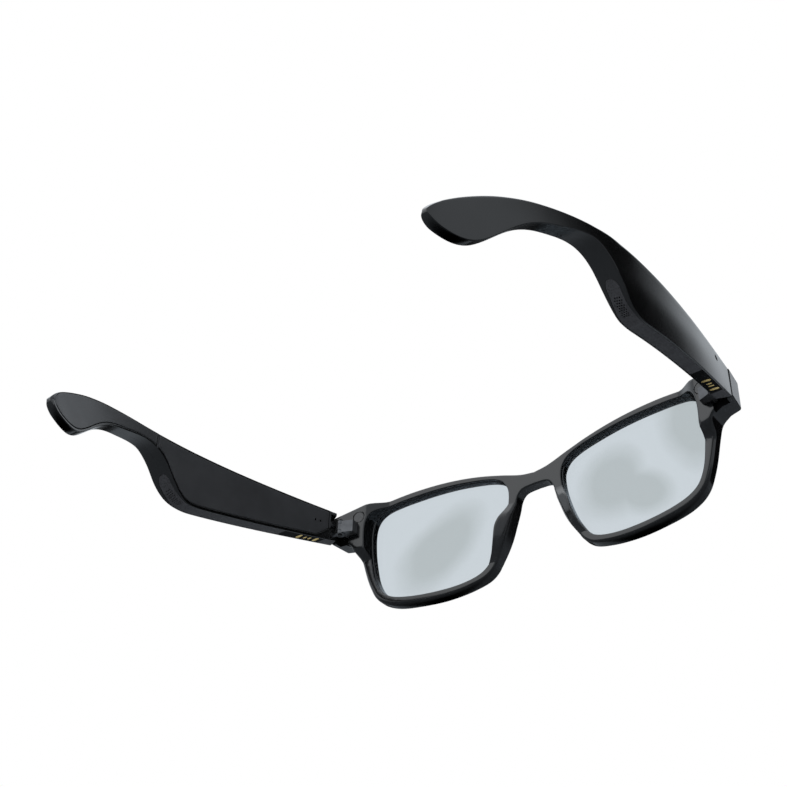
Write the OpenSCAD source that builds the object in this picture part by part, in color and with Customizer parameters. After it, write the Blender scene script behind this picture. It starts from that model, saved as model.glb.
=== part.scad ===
// Smart glasses with electronics in both temples.
// Lengths are in millimetres. +X is the wearer's left, the front faces -Y, +Z is up.
// The glasses stand on the lower rims and on the ear tips, at z = 0.

/* [Front] */
// Width of the front across the end pieces
front_w = 144.2; // [140:0.2:150]
// Depth of the rims from front to rear
rim_depth = 4.2; // [3.6:0.1:4.8]
// Radius of the wrap of the front, seen from above
wrap_r = 340; // [260:10:500]
// Depth of the groove that holds a lens
groove_depth = 0.6; // [0.4:0.1:0.8]

/* [Lens] */
// Thickness of a lens
lens_t = 1.8; // [1.4:0.1:2.2]
// Distance from the rear of the rim to the rear of the lens
lens_inset = 1.5; // [1.2:0.1:1.8]

/* [Temple] */
// Where a temple ends, behind the front of the nose bridge
tip_y = 142; // [141:0.1:143]
// Wall of the outer face of the shell
shell_wall = 1.0; // [0.8:0.1:1.1]
// Thickness of the inner cover
cover_t = 0.8; // [0.6:0.1:0.9]
// Depth of the recess along the bottom edge
strip_t = 0.7; // [0.5:0.1:0.8]
// Gap round each inset piece
seam = 0.06; // [0.04:0.01:0.1]

/* [Hinge] */
// Radius of the knuckles
barrel_r = 1.6; // [1.4:0.1:1.7]
// Radius of the hinge pin
pin_r = 0.7; // [0.5:0.05:0.8]
// Running clearance of the pin in the temple's knuckles
pin_gap = 0.04; // [0.02:0.01:0.08]
// Gap between the end piece and the temple
hinge_gap = 0.4; // [0.3:0.1:0.8]
// How far the end piece stands out behind the rim
boss_t = 3.9; // [3.4:0.1:4.2]

/* [Hidden] */
$fn = 48;

// Overlap that keeps a cut clear of the face it starts from
eps = 0.5;
// Length over which a temple's section changes from one form to the next
step = 0.1;

// Front: the rear face of the rims at the nose, and the wrap of the front as a function of x
rear_y = 0.8;
function wrap_y(x) = rear_y + wrap_r - sqrt(wrap_r * wrap_r - x * x);
end_y = wrap_y(front_w / 2) + boss_t;
front_y = rear_y - rim_depth;
mid_y = (front_y + tip_y) / 2;

// Temple: the butt end, and where each inset piece starts and ends along the temple
butt_y = end_y + hinge_gap;
cover_y = [18.5, 93.2];
tip_cover_y = [94.5, 141];
recess_y = [19.5, 88];
contact_y = 36.9;
pocket_y = 17.5;
rim_lip = 0.5;
low_lip = 1.3;
tip_lip = 0.8;
side_wall = 1.1;
hinge_wall = 0.7;
bottom_wall = 1.7;
strip_edge = [0.3, 0.45];
strip_share = [0.06, 0.91];
tip_cover_t = 0.7;
// How far the butt end is cut back on the head side, so that the temple can fold
butt_back = 2.1;
// Lengths over which the tip cover and the recess in the bottom edge round off at their rear ends
tip_end = 3.4;
recess_end = 2;

// Hinge: the pin's place, the heights of the knuckles, and the cap over the screw of the core
pivot = [68.1, 13.6];
knuckle_z = [28.4, 29.6, 29.7, 31.8, 31.9, 33.1];
cap_at = [62.9, 35.0];
cap_r = 1.85;
cap_t = 0.95;
screw_r = 0.58;
screw_head = [1.3, 0.75];
// Hinge core: the nose side, the front and the heights of its block, the angle of the block's rear face,
// and the corner and size of its tab
core_x = 63.2;
core_y = 8.6;
core_z = [28.6, 32.9];
core_lean = 22.8;
tab_at = [61.6, 7.2, 28.6];
tab_size = [2.6, 1.2, 7.8];
// Hinge leaf in the temple: corner and size, with its screws at [y, z]
leaf_at = [70.6, 16.5, 27.6];
leaf_size = [1, 6, 6];
leaf_screw_at = [[20.6, 29.2], [20.6, 32.4]];
leaf_screw_r = 0.48;
leaf_head = [0.85, 0.32];

// Curves of a temple along its length, as knots of [y, value, slope]
butt_z = 26.3;
knee = [72, 10];
edge_slope = (knee[1] - butt_z) / (knee[0] - butt_y);
bottom_knots = [
    [butt_y, butt_z, edge_slope], [knee[0], knee[1], edge_slope], [78.5, 8.9, 0], [88, 15.9, 1.1],
    [97, 20.2, 0], [108, 17.3, -0.37], [120, 10.3, -0.95], [128.4, 2, -0.75], [134.5, 0, 0], [tip_y, 1.4, 0.3]
];
top_knots = [
    [butt_y, 36.7, -0.15], [85, 26, -0.145], [102.6, 23.4, -0.17], [116, 20.3, -0.3],
    [125.2, 16.7, -0.47], [134.2, 11.4, -0.68], [tip_y, 5.2, -0.85]
];
inner_knots = [
    [butt_y, 68.55, 0.105], [44, 71.1, 0.06], [70, 72, 0], [93, 71, -0.12], [111, 67.2, -0.27],
    [130, 61.5, -0.3], [tip_y, 57.9, -0.28]
];
width_knots = [
    [butt_y, 4.3, 0], [44, 4.7, 0.015], [82, 4.95, 0], [106, 4.4, -0.03], [122, 3.5, -0.05],
    [tip_y, 2.7, -0.03]
];
crown_knots = [[butt_y, 0, 0.02], [45, 0.8, 0.02], [88, 1.6, 0], [112, 0.2, -0.03], [tip_y, 0, 0]];

// Outlines of the front, seen from behind on the wearer's left, as points [x, z]
brow_points = [
    [0, 34.8], [5, 35.6], [12.3, 38], [19.8, 40.1], [27.3, 41.5], [35, 42.2], [43, 42.2],
    [50, 41.6], [58, 40.2], [66, 38.3], [front_w / 2 - 0.8, 36.9]
];
end_points = [[front_w / 2, 36.4], [front_w / 2 - 0.2, 27.4], [front_w / 2 - 0.8, 26.9]];
rim_points = [
    [68.4, 26.4], [65.7, 24.5], [64.3, 21], [62.2, 13.6], [60.6, 9.3], [58.7, 5.7], [55.8, 3.1], [51, 1.3],
    [44, 0.4], [36, 0], [30, 0.3], [24.4, 1.1], [19, 2.6], [16, 4.9], [14.2, 7.9], [12.3, 11],
    [10.5, 14.8], [8.8, 19.8], [7.5, 23.8], [6.4, 27.8], [4.6, 29.8], [0, 30.3]
];
opening_points = [
    [9.7, 29.5], [10.2, 32.6], [12.2, 35.5], [16, 37.4], [22, 38.8], [30, 39.9], [38, 40.2],
    [46, 39.8], [52, 39.1], [56.6, 37.9], [59.4, 35.6], [60.8, 31.5], [60.8, 24], [60, 17.5],
    [59, 12.5], [57.4, 8.6], [55.6, 6.4], [52.5, 4.7], [48, 3.6], [42, 2.9], [35, 2.6], [28.5, 2.8],
    [23, 3.7], [19.6, 5.1], [17.2, 7.4], [14.6, 11.5], [12.8, 15.5], [11.3, 20], [10.2, 24.5]
];

// Cubic through knots of [position, value, slope]
function knot_span(k, y, i = 0) = i >= len(k) - 2 || y < k[i + 1][0] ? i : knot_span(k, y, i + 1);
function curve(k, y) =
    let (i = knot_span(k, y), a = k[i], b = k[i + 1], h = b[0] - a[0], t = (y - a[0]) / h, s = 1 - t)
    a[1] * (1 + 2 * t) * s * s + b[1] * t * t * (3 - 2 * t) + h * (a[2] * t * s * s - b[2] * t * t * s);
function slope(k, y) = (curve(k, y + 0.1) - curve(k, y - 0.1)) / 0.2;
function smooth(t) = let (u = min(1, max(0, t))) u * u * (3 - 2 * u);

// Smooth line through points, with a number of steps to each span
function unit(v) = v / norm(v);
function tangent(p, i, closed) =
    let (n = len(p))
    closed ? unit(p[(i + 1) % n] - p[(i + n - 1) % n])
           : unit(p[min(i + 1, n - 1)] - p[max(i - 1, 0)]);
function spline(p, steps, closed = false) =
    let (n = len(p), spans = closed ? n : n - 1)
    [
        for (i = [0 : spans - 1], k = [0 : steps - 1])
            let (
                a = p[i], b = p[(i + 1) % n], h = norm(b - a), t = k / steps, s = 1 - t,
                ta = tangent(p, i, closed), tb = tangent(p, (i + 1) % n, closed)
            )
            a * (1 + 2 * t) * s * s + b * t * t * (3 - 2 * t) + h * (ta * t * s * s - tb * t * t * s),
        if (!closed) p[n - 1]
    ];
// Closed line moved outwards, for a line that runs clockwise
function outset(p, d) =
    let (n = len(p))
    [for (i = [0 : n - 1]) let (v = unit(p[(i + 1) % n] - p[(i + n - 1) % n])) p[i] + d * [-v[1], v[0]]];
function mirrored(p) = [for (i = [len(p) - 1 : -1 : 0]) [-p[i][0], p[i][1]]];

// Numbers from a to b, without b, and numbers that crowd towards b, with b
function span(a, b, n) = [for (i = [0 : n - 1]) a + (b - a) * i / n];
function eased(a, b, n) = [for (i = [0 : n]) a + (b - a) * sin(90 * i / n)];

// Skin of a temple. The end rounds off over the last few millimetres, and the tip turns inwards.
// The bottom edge is a function of the share of the way across: behind the knee the outer side is lower.
// The top edge falls outwards on the tip.
round_from = tip_y - 3.5;
function end_round(y) = y < round_from ? 1 : sqrt(1 - pow((y - round_from) / 3.7, 2));
function raw_mid(y) = (curve(bottom_knots, y) + curve(top_knots, y)) / 2;
function bottom(y, share = 0) =
    raw_mid(y) + (curve(bottom_knots, y - share * knee_shift(y)) - raw_mid(y)) * end_round(y);
function top(y) = raw_mid(y) + (curve(top_knots, y) - raw_mid(y)) * end_round(y);
function knee_shift(y) = 2 * smooth((y - 76) / 8) * (1 - smooth((y - 93) / 8));
function top_fall(y) = min(0.6 * smooth((y - 88) / 14), 0.1 * (top(y) - bottom(y)));
function middle(y) = (bottom(y) + top(y)) / 2;
function turn(y) = 0.213 * smooth((y - 85) / 60);
function thickness(y, z) =
    let (line = butt_z + edge_slope * (y - butt_y))
    curve(width_knots, y) + curve(crown_knots, y) * sin(90 * min(1, max(0, (z - line) / 9)));
function inner(y, z) =
    curve(inner_knots, y) + turn(y) * (z - 4) + thickness(y, z) * (1 - sqrt(end_round(y))) / 2;
function outer(y, z) = inner(y, z) + thickness(y, z) * sqrt(end_round(y));

// Solid through closed rings that each lie in one plane and bulge outwards
module loft(rings, falling = false) {
    n = len(rings[0]);
    m = len(rings);
    sides = [
        for (i = [0 : m - 2], j = [0 : n - 1])
            let (a = i * n + j, b = i * n + (j + 1) % n)
            each falling ? [[a, b, a + n], [b, b + n, a + n]] : [[a, b, b + n], [a, b + n, a + n]]
    ];
    caps = [[for (j = [n - 1 : -1 : 0]) j], [for (j = [0 : n - 1]) (m - 1) * n + j]];
    polyhedron([for (r = rings) each r], concat(sides, caps));
}

// Solid through channel-shaped rings: the outside line, then the inside line back again
module channel_loft(rings) {
    n = len(rings[0]);
    m = len(rings);
    sides = [
        for (i = [0 : m - 2], j = [0 : n - 1])
            let (a = i * n + j, b = i * n + (j + 1) % n)
            each [[a, b, b + n], [a, b + n, a + n]]
    ];
    last = (m - 1) * n;
    caps = [
        for (j = [0 : n / 2 - 2])
            let (k = n - 1 - j)
            each [[j, k, k - 1], [j, k - 1, j + 1], [last + j, last + k - 1, last + k],
                  [last + j, last + j + 1, last + k - 1]]
    ];
    polyhedron([for (r = rings) each r], concat(sides, caps));
}

// The left-hand pieces as they are, the right-hand ones mirrored, about the middle of the object
module place() translate([0, -mid_y, 0]) children();
module place_right() place() mirror([1, 0, 0]) children();

// Frame inside a temple: +Y along it, +X outwards from the rear of the cover
module in_temple(y, z_shift = 0) {
    x = inner(y, middle(y)) + cover_t;
    yaw = -atan(slope(inner_knots, y));
    pitch = atan((slope(bottom_knots, 60) + slope(top_knots, 60)) / 2);
    translate([x, y, middle(y) + z_shift]) rotate([pitch, 0, yaw]) children();
}

// Front

module front_outline() {
    half = concat(spline(brow_points, 3), end_points, spline(rim_points, 3));
    polygon(concat(half, mirrored([for (i = [1 : len(half) - 2]) half[i]])));
}

// Extrudes a rear view along Y, through the whole front
module through_front() translate([0, 30, 0]) rotate([90, 0, 0]) linear_extrude(60) children();

// Curved layer of the front between two distances forward of the rear face
module wrap_layer(from, to) {
    translate([0, rear_y + wrap_r, -10]) difference() {
        cylinder(r = wrap_r + to, h = 60, $fn = 256);
        translate([0, 0, -eps]) cylinder(r = wrap_r + from, h = 60 + 2 * eps, $fn = 256);
    }
}

module lens_shape(grow) {
    intersection() {
        through_front() polygon(outset(spline(opening_points, 3, true), grow));
        wrap_layer(lens_inset, lens_inset + lens_t);
    }
}

// The thick end piece behind the rim, seen from above: it ramps up beside the lens
module end_boss() {
    from = 53.5;
    to = front_w / 2 + 2;
    xs = concat(span(from, 61, 9), span(61, to, 4), [to]);
    difference() {
        translate([0, 0, 20]) linear_extrude(25) polygon(concat(
            [for (x = xs) [x, wrap_y(x) + boss_t * smooth((x - from) / 7.5)]],
            [for (i = [len(xs) - 1 : -1 : 0]) [xs[i], wrap_y(xs[i]) - rim_depth / 2]]
        ));
        translate([50, 11.5, 24.2]) rotate([-38, 0, 0]) translate([0, -20, -20]) cube([40, 40, 20]);
    }
}

// Pocket in the rear of the end piece for the hinge core, with a notch below the knuckles
module hinge_recess() {
    room = 0.15;
    notch = [66.3, 9.6, 20];
    translate([core_x - seam, core_y - 0.2, core_z[0] - room])
        cube([pivot[0] - core_x, 10, core_z[1] - core_z[0] + 2 * room]);
    translate(notch) cube([4.7, 10, core_z[0] - notch[2]]);
}

// Frame of the round cap: on the rear face of the end piece, +Z out of it
module at_cap() {
    turn = atan(cap_at[0] / sqrt(wrap_r * wrap_r - cap_at[0] * cap_at[0]));
    translate([cap_at[0], wrap_y(cap_at[0]) + boss_t, cap_at[1]])
        rotate([0, 0, turn]) rotate([-90, 0, 0]) children();
}

// Hole for the cap, the screw's head and its thread
module cap_hole() at_cap() {
    head_z = -cap_t - screw_head[1] - 2 * seam;
    translate([0, 0, -cap_t - 0.05]) cylinder(r = cap_r + seam, h = 2);
    translate([0, 0, head_z - 0.05]) cylinder(r = screw_head[0] + 0.05, h = 2);
    translate([0, 0, -4.5]) cylinder(r = screw_r + 0.02, h = 4);
}

module front_frame() color("#17181a") place() difference() {
    intersection() {
        through_front() front_outline();
        union() {
            wrap_layer(0, rim_depth);
            end_boss();
            mirror([1, 0, 0]) end_boss();
        }
    }
    for (side = [0, 1]) mirror([side, 0, 0]) {
        through_front() polygon(spline(opening_points, 3, true));
        lens_shape(groove_depth);
        hinge_recess();
        cap_hole();
        hinge_tab(seam);
    }
}

module lens() color("#c3cdd1", 0.5) lens_shape(groove_depth - seam);
module left_lens() place() lens();
module right_lens() place_right() lens();

// Nose pad: rings from its lower end to its upper end, each a rounded wedge that leans outwards
module nose_pad() {
    foot = 8.5;
    head = 25.5;
    reach = [[foot, 1.2, 0.2], [12, 5, 0.55], [16.5, 6.6, 0], [21.5, 4, -0.9], [head, 0.8, -0.3]];
    root = [[foot, 13.9, -0.6], [14.8, 10.6, -0.37], [head, 7.2, -0.26]];
    color("#1b1c1e") loft([
        for (z = concat(span(foot, head, 12), [head]))
            let (x = curve(root, z), r = curve(reach, z), lean = 0.42 * r)
            [
                for (p = [
                    [0.2, 0], [0.2 + 0.3 * lean, 0.35 * r], [0.4 + 0.75 * lean, 0.75 * r],
                    [0.9 + lean, 0.96 * r], [1.5 + lean, r], [2.1 + lean, 0.93 * r],
                    [2.5 + 0.9 * lean, 0.7 * r], [2.8, 0.3 * r], [2.9, 0]
                ]) [x + p[0], rear_y + 0.4 + p[1], z]
            ]
    ]);
}
module left_nose_pad() place() nose_pad();
module right_nose_pad() place_right() nose_pad();

// Hinge

// Plate of the hinge core inside the end piece, where the screw holds it
module hinge_tab(grow) {
    translate(tab_at - grow * [1, 1, 1]) cube(tab_size + 2 * grow * [1, 1, 1]);
}

// Block of the core, seen from above: its rear face all but touches the knuckle's rear
module core_plan() {
    rear = pivot + (barrel_r - 0.05) * [-sin(core_lean), cos(core_lean)];
    polygon([
        [core_x, core_y], [pivot[0] - 0.9, core_y], pivot, rear,
        [core_x, rear[1] - (rear[0] - core_x) * tan(core_lean)]
    ]);
}

module frame_hinge() color("#3a3b3e") difference() {
    clear_r = barrel_r + 0.15;
    union() {
        difference() {
            translate([0, 0, core_z[0]]) linear_extrude(core_z[1] - core_z[0]) core_plan();
            translate([pivot[0], pivot[1], knuckle_z[2] - 5]) cylinder(r = clear_r, h = 5);
            translate([pivot[0], pivot[1], knuckle_z[3]]) cylinder(r = clear_r, h = 5);
        }
        translate([pivot[0], pivot[1], knuckle_z[2]]) cylinder(r = barrel_r, h = knuckle_z[3] - knuckle_z[2]);
        translate([core_x, tab_at[1], core_z[0]]) cube([1, core_y - tab_at[1] + 0.5, core_z[1] - core_z[0]]);
        hinge_tab(0);
    }
    translate([pivot[0], pivot[1], knuckle_z[2] - eps]) cylinder(r = pin_r, h = 5);
    at_cap() translate([0, 0, -6]) cylinder(r = screw_r + 0.02, h = 5);
}
module left_frame_hinge() place() frame_hinge();
module right_frame_hinge() place_right() frame_hinge();

module frame_screw() color("#9a9a9a") at_cap() {
    translate([0, 0, -cap_t - screw_head[1] - seam]) cylinder(r = screw_head[0], h = screw_head[1]);
    translate([0, 0, -4.4]) cylinder(r = screw_r, h = 3);
}
module left_frame_screw() place() frame_screw();
module right_frame_screw() place_right() frame_screw();

module screw_cap() color("#1b1c1e") at_cap() translate([0, 0, -cap_t]) cylinder(r = cap_r, h = cap_t - 0.02);
module left_screw_cap() place() screw_cap();
module right_screw_cap() place_right() screw_cap();

// Pin with a slotted head above the upper knuckle
module hinge_pin() color("#a8a8aa") translate([pivot[0], pivot[1], 0]) {
    low = knuckle_z[0] - 0.3;
    head_z = knuckle_z[5] + 0.08;
    translate([0, 0, low]) cylinder(r = pin_r, h = head_z + 0.1 - low);
    translate([0, 0, head_z]) difference() {
        cylinder(r = 1.15, h = 0.55);
        translate([-2, -0.15, 0.3]) cube([4, 0.3, 1]);
    }
}
module left_hinge_pin() place() hinge_pin();
module right_hinge_pin() place_right() hinge_pin();

// Temple

// Places along the temple where its section is worked out, and those between two places
stations = concat(
    span(butt_y, recess_y[0] - step, 4), [recess_y[0] - step], span(recess_y[0], knee[0], 12),
    span(knee[0], recess_y[1] - recess_end, 9), eased(recess_y[1] - recess_end, recess_y[1], 4),
    span(recess_y[1] + step, cover_y[1], 3), [cover_y[1], cover_y[1] + step, tip_cover_y[0] - step],
    span(tip_cover_y[0], tip_cover_y[1] - tip_end, 15), eased(tip_cover_y[1] - tip_end, tip_cover_y[1], 5),
    span(tip_cover_y[1] + step, tip_y, 3), [tip_y]
);
function between(a, b) = concat([a], [for (y = stations) if (y > a + step && y < b - step) y], [b]);

// Depth of the seat of the covers, of the hollow behind it, and of the recess in the bottom edge
bare = 0.05;
function within(y, range) = y >= range[0] - 0.001 && y <= range[1] + 0.001;
function seat(y) =
    y <= cover_y[1] ? cover_t + seam : within(y, tip_cover_y) ? tip_cover_t + seam : bare;
function hollow(y, z) = y <= cover_y[1] ? outer(y, z) - shell_wall : inner(y, z) + seat(y) + bare;
function recess(y) = within(y, recess_y) ? strip_t : bare;
function floor_t(y) = y < recess_y[0] - step / 2 ? hinge_wall : bottom_wall;
// Width of the shell's own edge above and below a cover
function upper_lip(y) = min(rim_lip, 0.12 * (top(y) - bottom(y)));
function lower_lip(y) =
    y < recess_y[0] - step / 2 ? rim_lip
    : min(y <= cover_y[1] ? low_lip : tip_lip, 0.17 * (top(y) - bottom(y)));
// Share of the full width that is left where an inset piece rounds off at its rear end
function rounding(y, end, length) =
    let (t = (y - end + length) / length) t <= 0 ? 1 : sqrt(max(0.03, 1 - t * t));
function tip_share(y) = rounding(y, tip_cover_y[1], tip_end);
// A height drawn in towards the middle of the cover by the tip's rounding
function drawn_in(y, z) =
    let (m = (top(y) - upper_lip(y) + bottom(y) + lower_lip(y)) / 2) m + (z - m) * tip_share(y);
// Edge of the recess in the bottom as [x, z], on the head side or on the outer side
function recess_edge(y, side) =
    let (
        narrow = min(1, (top(y) - bottom(y)) / 4), share = rounding(y, recess_y[1], recess_end),
        a = inner(y, bottom(y)) + strip_edge[0] * narrow, b = outer(y, bottom(y, 1)) - strip_edge[1] * narrow,
        t = (1 + (side == 0 ? -1 : 1) * share) / 2
    )
    [a + (b - a) * t, bottom(y, strip_share[0] + (strip_share[1] - strip_share[0]) * t)];

function shell_ring(y) =
    let (
        zt = top(y), zb = bottom(y), h = zt - zb, r = min(0.9, 0.16 * h), r2 = min(0.35, 0.08 * h),
        ze = zt - top_fall(y), zo = bottom(y, 1),
        c = min(0.2, 0.05 * h), za = drawn_in(y, zt - upper_lip(y)), zc = drawn_in(y, zb + lower_lip(y)),
        z1 = drawn_in(y, zt - min(side_wall, 0.25 * h)),
        z2 = drawn_in(y, zb + max(min(floor_t(y), 0.3 * h), 1.2 * lower_lip(y))),
        d = [0, min(recess(y), 0.2 * h)], s = seat(y), ri = recess_edge(y, 0), ro = recess_edge(y, 1),
        outside = [
            [inner(y, zt), zt - c], [inner(y, zt) + c, zt], [outer(y, ze) - r, ze],
            [outer(y, ze) - 0.3 * r, ze - 0.3 * r],
            for (t = [0 : 0.25 : 1]) let (z = ze - r + (zo + r2 - ze + r) * t) [outer(y, z), z],
            [outer(y, zo) - 0.3 * r2, zo + 0.3 * r2], [outer(y, zo) - r2, zo], ro, ro + d, ri + d, ri,
            [inner(y, zb) + c, zb], [inner(y, zb), zb + c]
        ],
        inside = [
            [inner(y, za), za], [inner(y, za) + s, za], [inner(y, z1) + s, z1],
            [(inner(y, z1) + s + hollow(y, z1)) / 2, z1],
            for (t = [0 : 0.25 : 1]) let (z = z1 + (z2 - z1) * t) [hollow(y, z), z],
            for (t = [0.2 : 0.2 : 1]) [hollow(y, z2) + (inner(y, z2) + s - hollow(y, z2)) * t, z2],
            [inner(y, (z2 + zc) / 2) + s, (z2 + zc) / 2], [inner(y, zc) + s, zc], [inner(y, zc), zc]
        ],
        n = len(inside)
    )
    [for (i = [n - 1 : -1 : 0]) [outside[i][0], y, outside[i][1]], for (p = inside) [p[0], y, p[1]]];

// Frame on the bottom edge of a temple: +Z into the temple
module on_bottom(y) {
    zb = bottom(y, 0.5);
    x = (inner(y, zb) + strip_edge[0] + outer(y, zb) - strip_edge[1]) / 2;
    pitch = atan(slope(bottom_knots, y));
    yaw = -atan(slope(inner_knots, y));
    translate([x, y, zb]) rotate([pitch, 0, yaw]) children();
}

contact_places = [[21.9, 1.4, 0.72], [24.6, 0.85, 0.48], [26.5, 0.85, 0.48], [29.1, 1.4, 0.72]];
mic_at = [24.3, 32];
cover_ports = [[22.3, 30.1], [24.6, 29.6]];
sound_y = 76.8;
sound_pitch = [0.82, 0.95];
// Cut corner of the cover: its height at the cover's front end, and its fall
cover_corner = [29, 0.83];
function corner(y) = cover_corner[0] - cover_corner[1] * (y - cover_y[0]);

// A slot shape: half its length along X to the centres of its ends, the radius, and half its height
module slot(half, r, h) {
    cube([2 * half, 2 * r, 2 * h], center = true);
    for (side = [-1, 1]) translate([side * half, 0, 0]) cylinder(r = r, h = 2 * h, center = true);
}

// Ring of a plate that follows the head side between two heights
function plate_ring(y, a, b, t, sink = 0) = [
    for (p = [[sink, a], [sink, b], [t, b], [t, a]]) [inner(y, p[1]) + p[0], y, p[1]]
];

// The shell's own wall between the hinge and the cover, and its corner under the cover's cut corner
module hinge_side() {
    sink = 0.03;
    end = cover_y[0] - seam;
    low = function(y) bottom(y) + (y < recess_y[0] ? 0.3 : 0.95);
    loft([for (y = [pocket_y, end]) plate_ring(y, top(y) - 0.3, low(y), cover_t, sink)]);
    loft([
        for (y = [end - step, recess_y[0] - step, recess_y[0], 23])
            plate_ring(y, corner(max(y, cover_y[0])) - seam, low(y), cover_t, sink)
    ]);
}

// Room in front of the slanting butt end
module butt_cut() {
    outside = front_w / 2 + 0.8;
    translate([0, 0, 20]) linear_extrude(20) polygon([
        [outside, 0], [outside, butt_y], [outside - 4.4, butt_y + butt_back],
        [outside - 8.8, butt_y + 2 * butt_back], [outside - 8.8, 0]
    ]);
}

module temple_shell() color("#101113") difference() {
    union() {
        channel_loft([for (y = stations) shell_ring(y)]);
        hinge_side();
    }
    butt_cut();
    translate([outer(mic_at[0], mic_at[1]), mic_at[0], mic_at[1]])
        rotate([0, 90, 0]) rotate(-15) slot(0.36, 0.26, 1.5);
    for (p = contact_places) on_bottom(p[0]) translate([0, 0, 0.2]) cylinder(r = 0.3, h = 2);
    for (y = [79, 82, 85]) on_bottom(y) translate([0, 0, 0.3]) cylinder(r = 0.9, h = 3.2);
}
module left_temple_shell() place() temple_shell();
module right_temple_shell() place_right() temple_shell();

// Plate let into the head side of a temple, between two places along it
module inset_plate(from, to, t, foot) {
    loft([
        for (y = between(from + seam, to - seam))
            let (a = drawn_in(y, top(y) - upper_lip(y)) - seam)
            let (b = max(drawn_in(y, bottom(y) + lower_lip(y)) + seam, foot(y)))
            plate_ring(y, a, b, t)
    ]);
}

module inner_cover() color("#3c3e42") difference() {
    inset_plate(cover_y[0] - seam, cover_y[1], cover_t, function(y) corner(y));
    for (p = cover_ports) translate([60, p[0], p[1]]) rotate([0, 90, 0]) cylinder(r = 0.28, h = 20);
}
module left_inner_cover() place() inner_cover();
module right_inner_cover() place_right() inner_cover();

module tip_cover() color("#3c3e42")
    inset_plate(tip_cover_y[0], tip_cover_y[1], tip_cover_t, function(y) 0);
module left_tip_cover() place() tip_cover();
module right_tip_cover() place_right() tip_cover();

// Strip in the recess of the bottom edge, with its facets split the way the recess is
module bottom_strip(from, to) {
    loft([
        for (y = between(from, to))
            let (a = recess_edge(y, 0) + [seam, 0], b = recess_edge(y, 1) - [seam, 0], t = strip_t - seam)
            [[a[0], y, a[1]], [b[0], y, b[1]], [b[0], y, b[1] + t], [a[0], y, a[1] + t]]
    ], falling = true);
}

module speaker_strip() color("#45474b") difference() {
    bottom_strip(contact_y + seam, recess_y[1] - seam);
    for (i = [0 : 9], j = i % 2 == 0 ? [-1 : 1] : [-1.5 : 1.5]) on_bottom(sound_y + sound_pitch[1] * i)
        translate([sound_pitch[0] * j, 0, -eps]) cylinder(r = 0.22, h = 2, $fn = 16);
}
module left_speaker_strip() place() speaker_strip();
module right_speaker_strip() place_right() speaker_strip();

module contact_block() color("#0c0c0e") difference() {
    bottom_strip(recess_y[0] + seam, contact_y);
    for (p = contact_places) on_bottom(p[0]) {
        slot(p[1] - p[2], p[2], 0.35);
        cylinder(r = 0.3, h = 2);
    }
}
module left_contact_block() place() contact_block();
module right_contact_block() place_right() contact_block();

module charge_contacts() color("#c9a227") for (p = contact_places) on_bottom(p[0]) {
    translate([0, 0, 0.175]) slot(p[1] - p[2] - 0.02, p[2] - 0.02, 0.15);
    translate([0, 0, 0.1]) cylinder(r = 0.28, h = 1.5);
}
module left_charge_contacts() place() charge_contacts();
module right_charge_contacts() place_right() charge_contacts();

// Frame of a leaf screw: on the head side of the leaf, +Z outwards
module at_leaf(p) translate([leaf_at[0], p[0], p[1]]) rotate([0, 90, 0]) children();

module temple_hinge() color("#3a3b3e") difference() {
    arm = leaf_at[0] + leaf_size[0] - pivot[0];
    union() {
        for (k = [0, 4]) translate([pivot[0], pivot[1], knuckle_z[k]]) {
            height = knuckle_z[k + 1] - knuckle_z[k];
            cylinder(r = barrel_r, h = height);
            translate([0.3, 0, 0]) cube([arm - 0.3, barrel_r - 0.5, height]);
            translate([leaf_at[0] - pivot[0], 0, 0]) cube([leaf_size[0], leaf_at[1] - pivot[1] + 0.5, height]);
        }
        translate(leaf_at) cube(leaf_size);
    }
    translate([pivot[0], pivot[1], knuckle_z[0] - eps]) cylinder(r = pin_r + pin_gap, h = 10);
    for (p = leaf_screw_at) at_leaf(p) translate([0, 0, -eps]) cylinder(r = leaf_screw_r + 0.02, h = 3);
}
module left_temple_hinge() place() temple_hinge();
module right_temple_hinge() place_right() temple_hinge();

module leaf_screws() color("#9a9a9a") for (p = leaf_screw_at) at_leaf(p) {
    translate([0, 0, -leaf_head[1]]) cylinder(r = leaf_head[0], h = leaf_head[1]);
    translate([0, 0, -0.05]) cylinder(r = leaf_screw_r, h = 1.9);
}
module left_leaf_screws() place() leaf_screws();
module right_leaf_screws() place_right() leaf_screws();

// Inside a temple

module battery() color("#b9bcc0") in_temple(60) {
    translate([0.3, -12, -4.6]) cube([2.6, 25, 10]);
    translate([0.9, -13.5, -3.5]) cube([0.4, 1.5, 7]);
}
module left_battery() place() battery();
module right_battery() place_right() battery();

module circuit_board() color("#1f5a38") in_temple(36.5) {
    translate([0.5, -8, -4]) cube([0.7, 16.4, 8]);
    translate([1.2, -6, -2.5]) cube([0.8, 5, 5]);
    translate([1.2, 1, -2]) cube([0.7, 3.4, 3.4]);
    translate([1.2, 5.4, -1.5]) cube([0.6, 2, 3]);
}
module left_circuit_board() place() circuit_board();
module right_circuit_board() place_right() circuit_board();

module speaker() color("#55575c") in_temple(80.5, -1.2) {
    translate([0.4, -5, -3.6]) cube([2.4, 7, 7]);
    translate([2.8, -1.5, -0.1]) rotate([0, 90, 0]) cylinder(r = 3, h = 0.5);
}
module left_speaker() place() speaker();
module right_speaker() place_right() speaker();

module microphones() color("#c0a25a") {
    wall_x = outer(mic_at[0], mic_at[1]) - shell_wall;
    translate([wall_x - 0.9, mic_at[0] - 1.3, mic_at[1] - 0.9]) cube([0.65, 2.6, 1.8]);
    translate([inner(25.4, 29.8) + cover_t + 0.35, 23, 28.4]) cube([0.6, 2.4, 2.6]);
}
module left_microphones() place() microphones();
module right_microphones() place_right() microphones();

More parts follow.
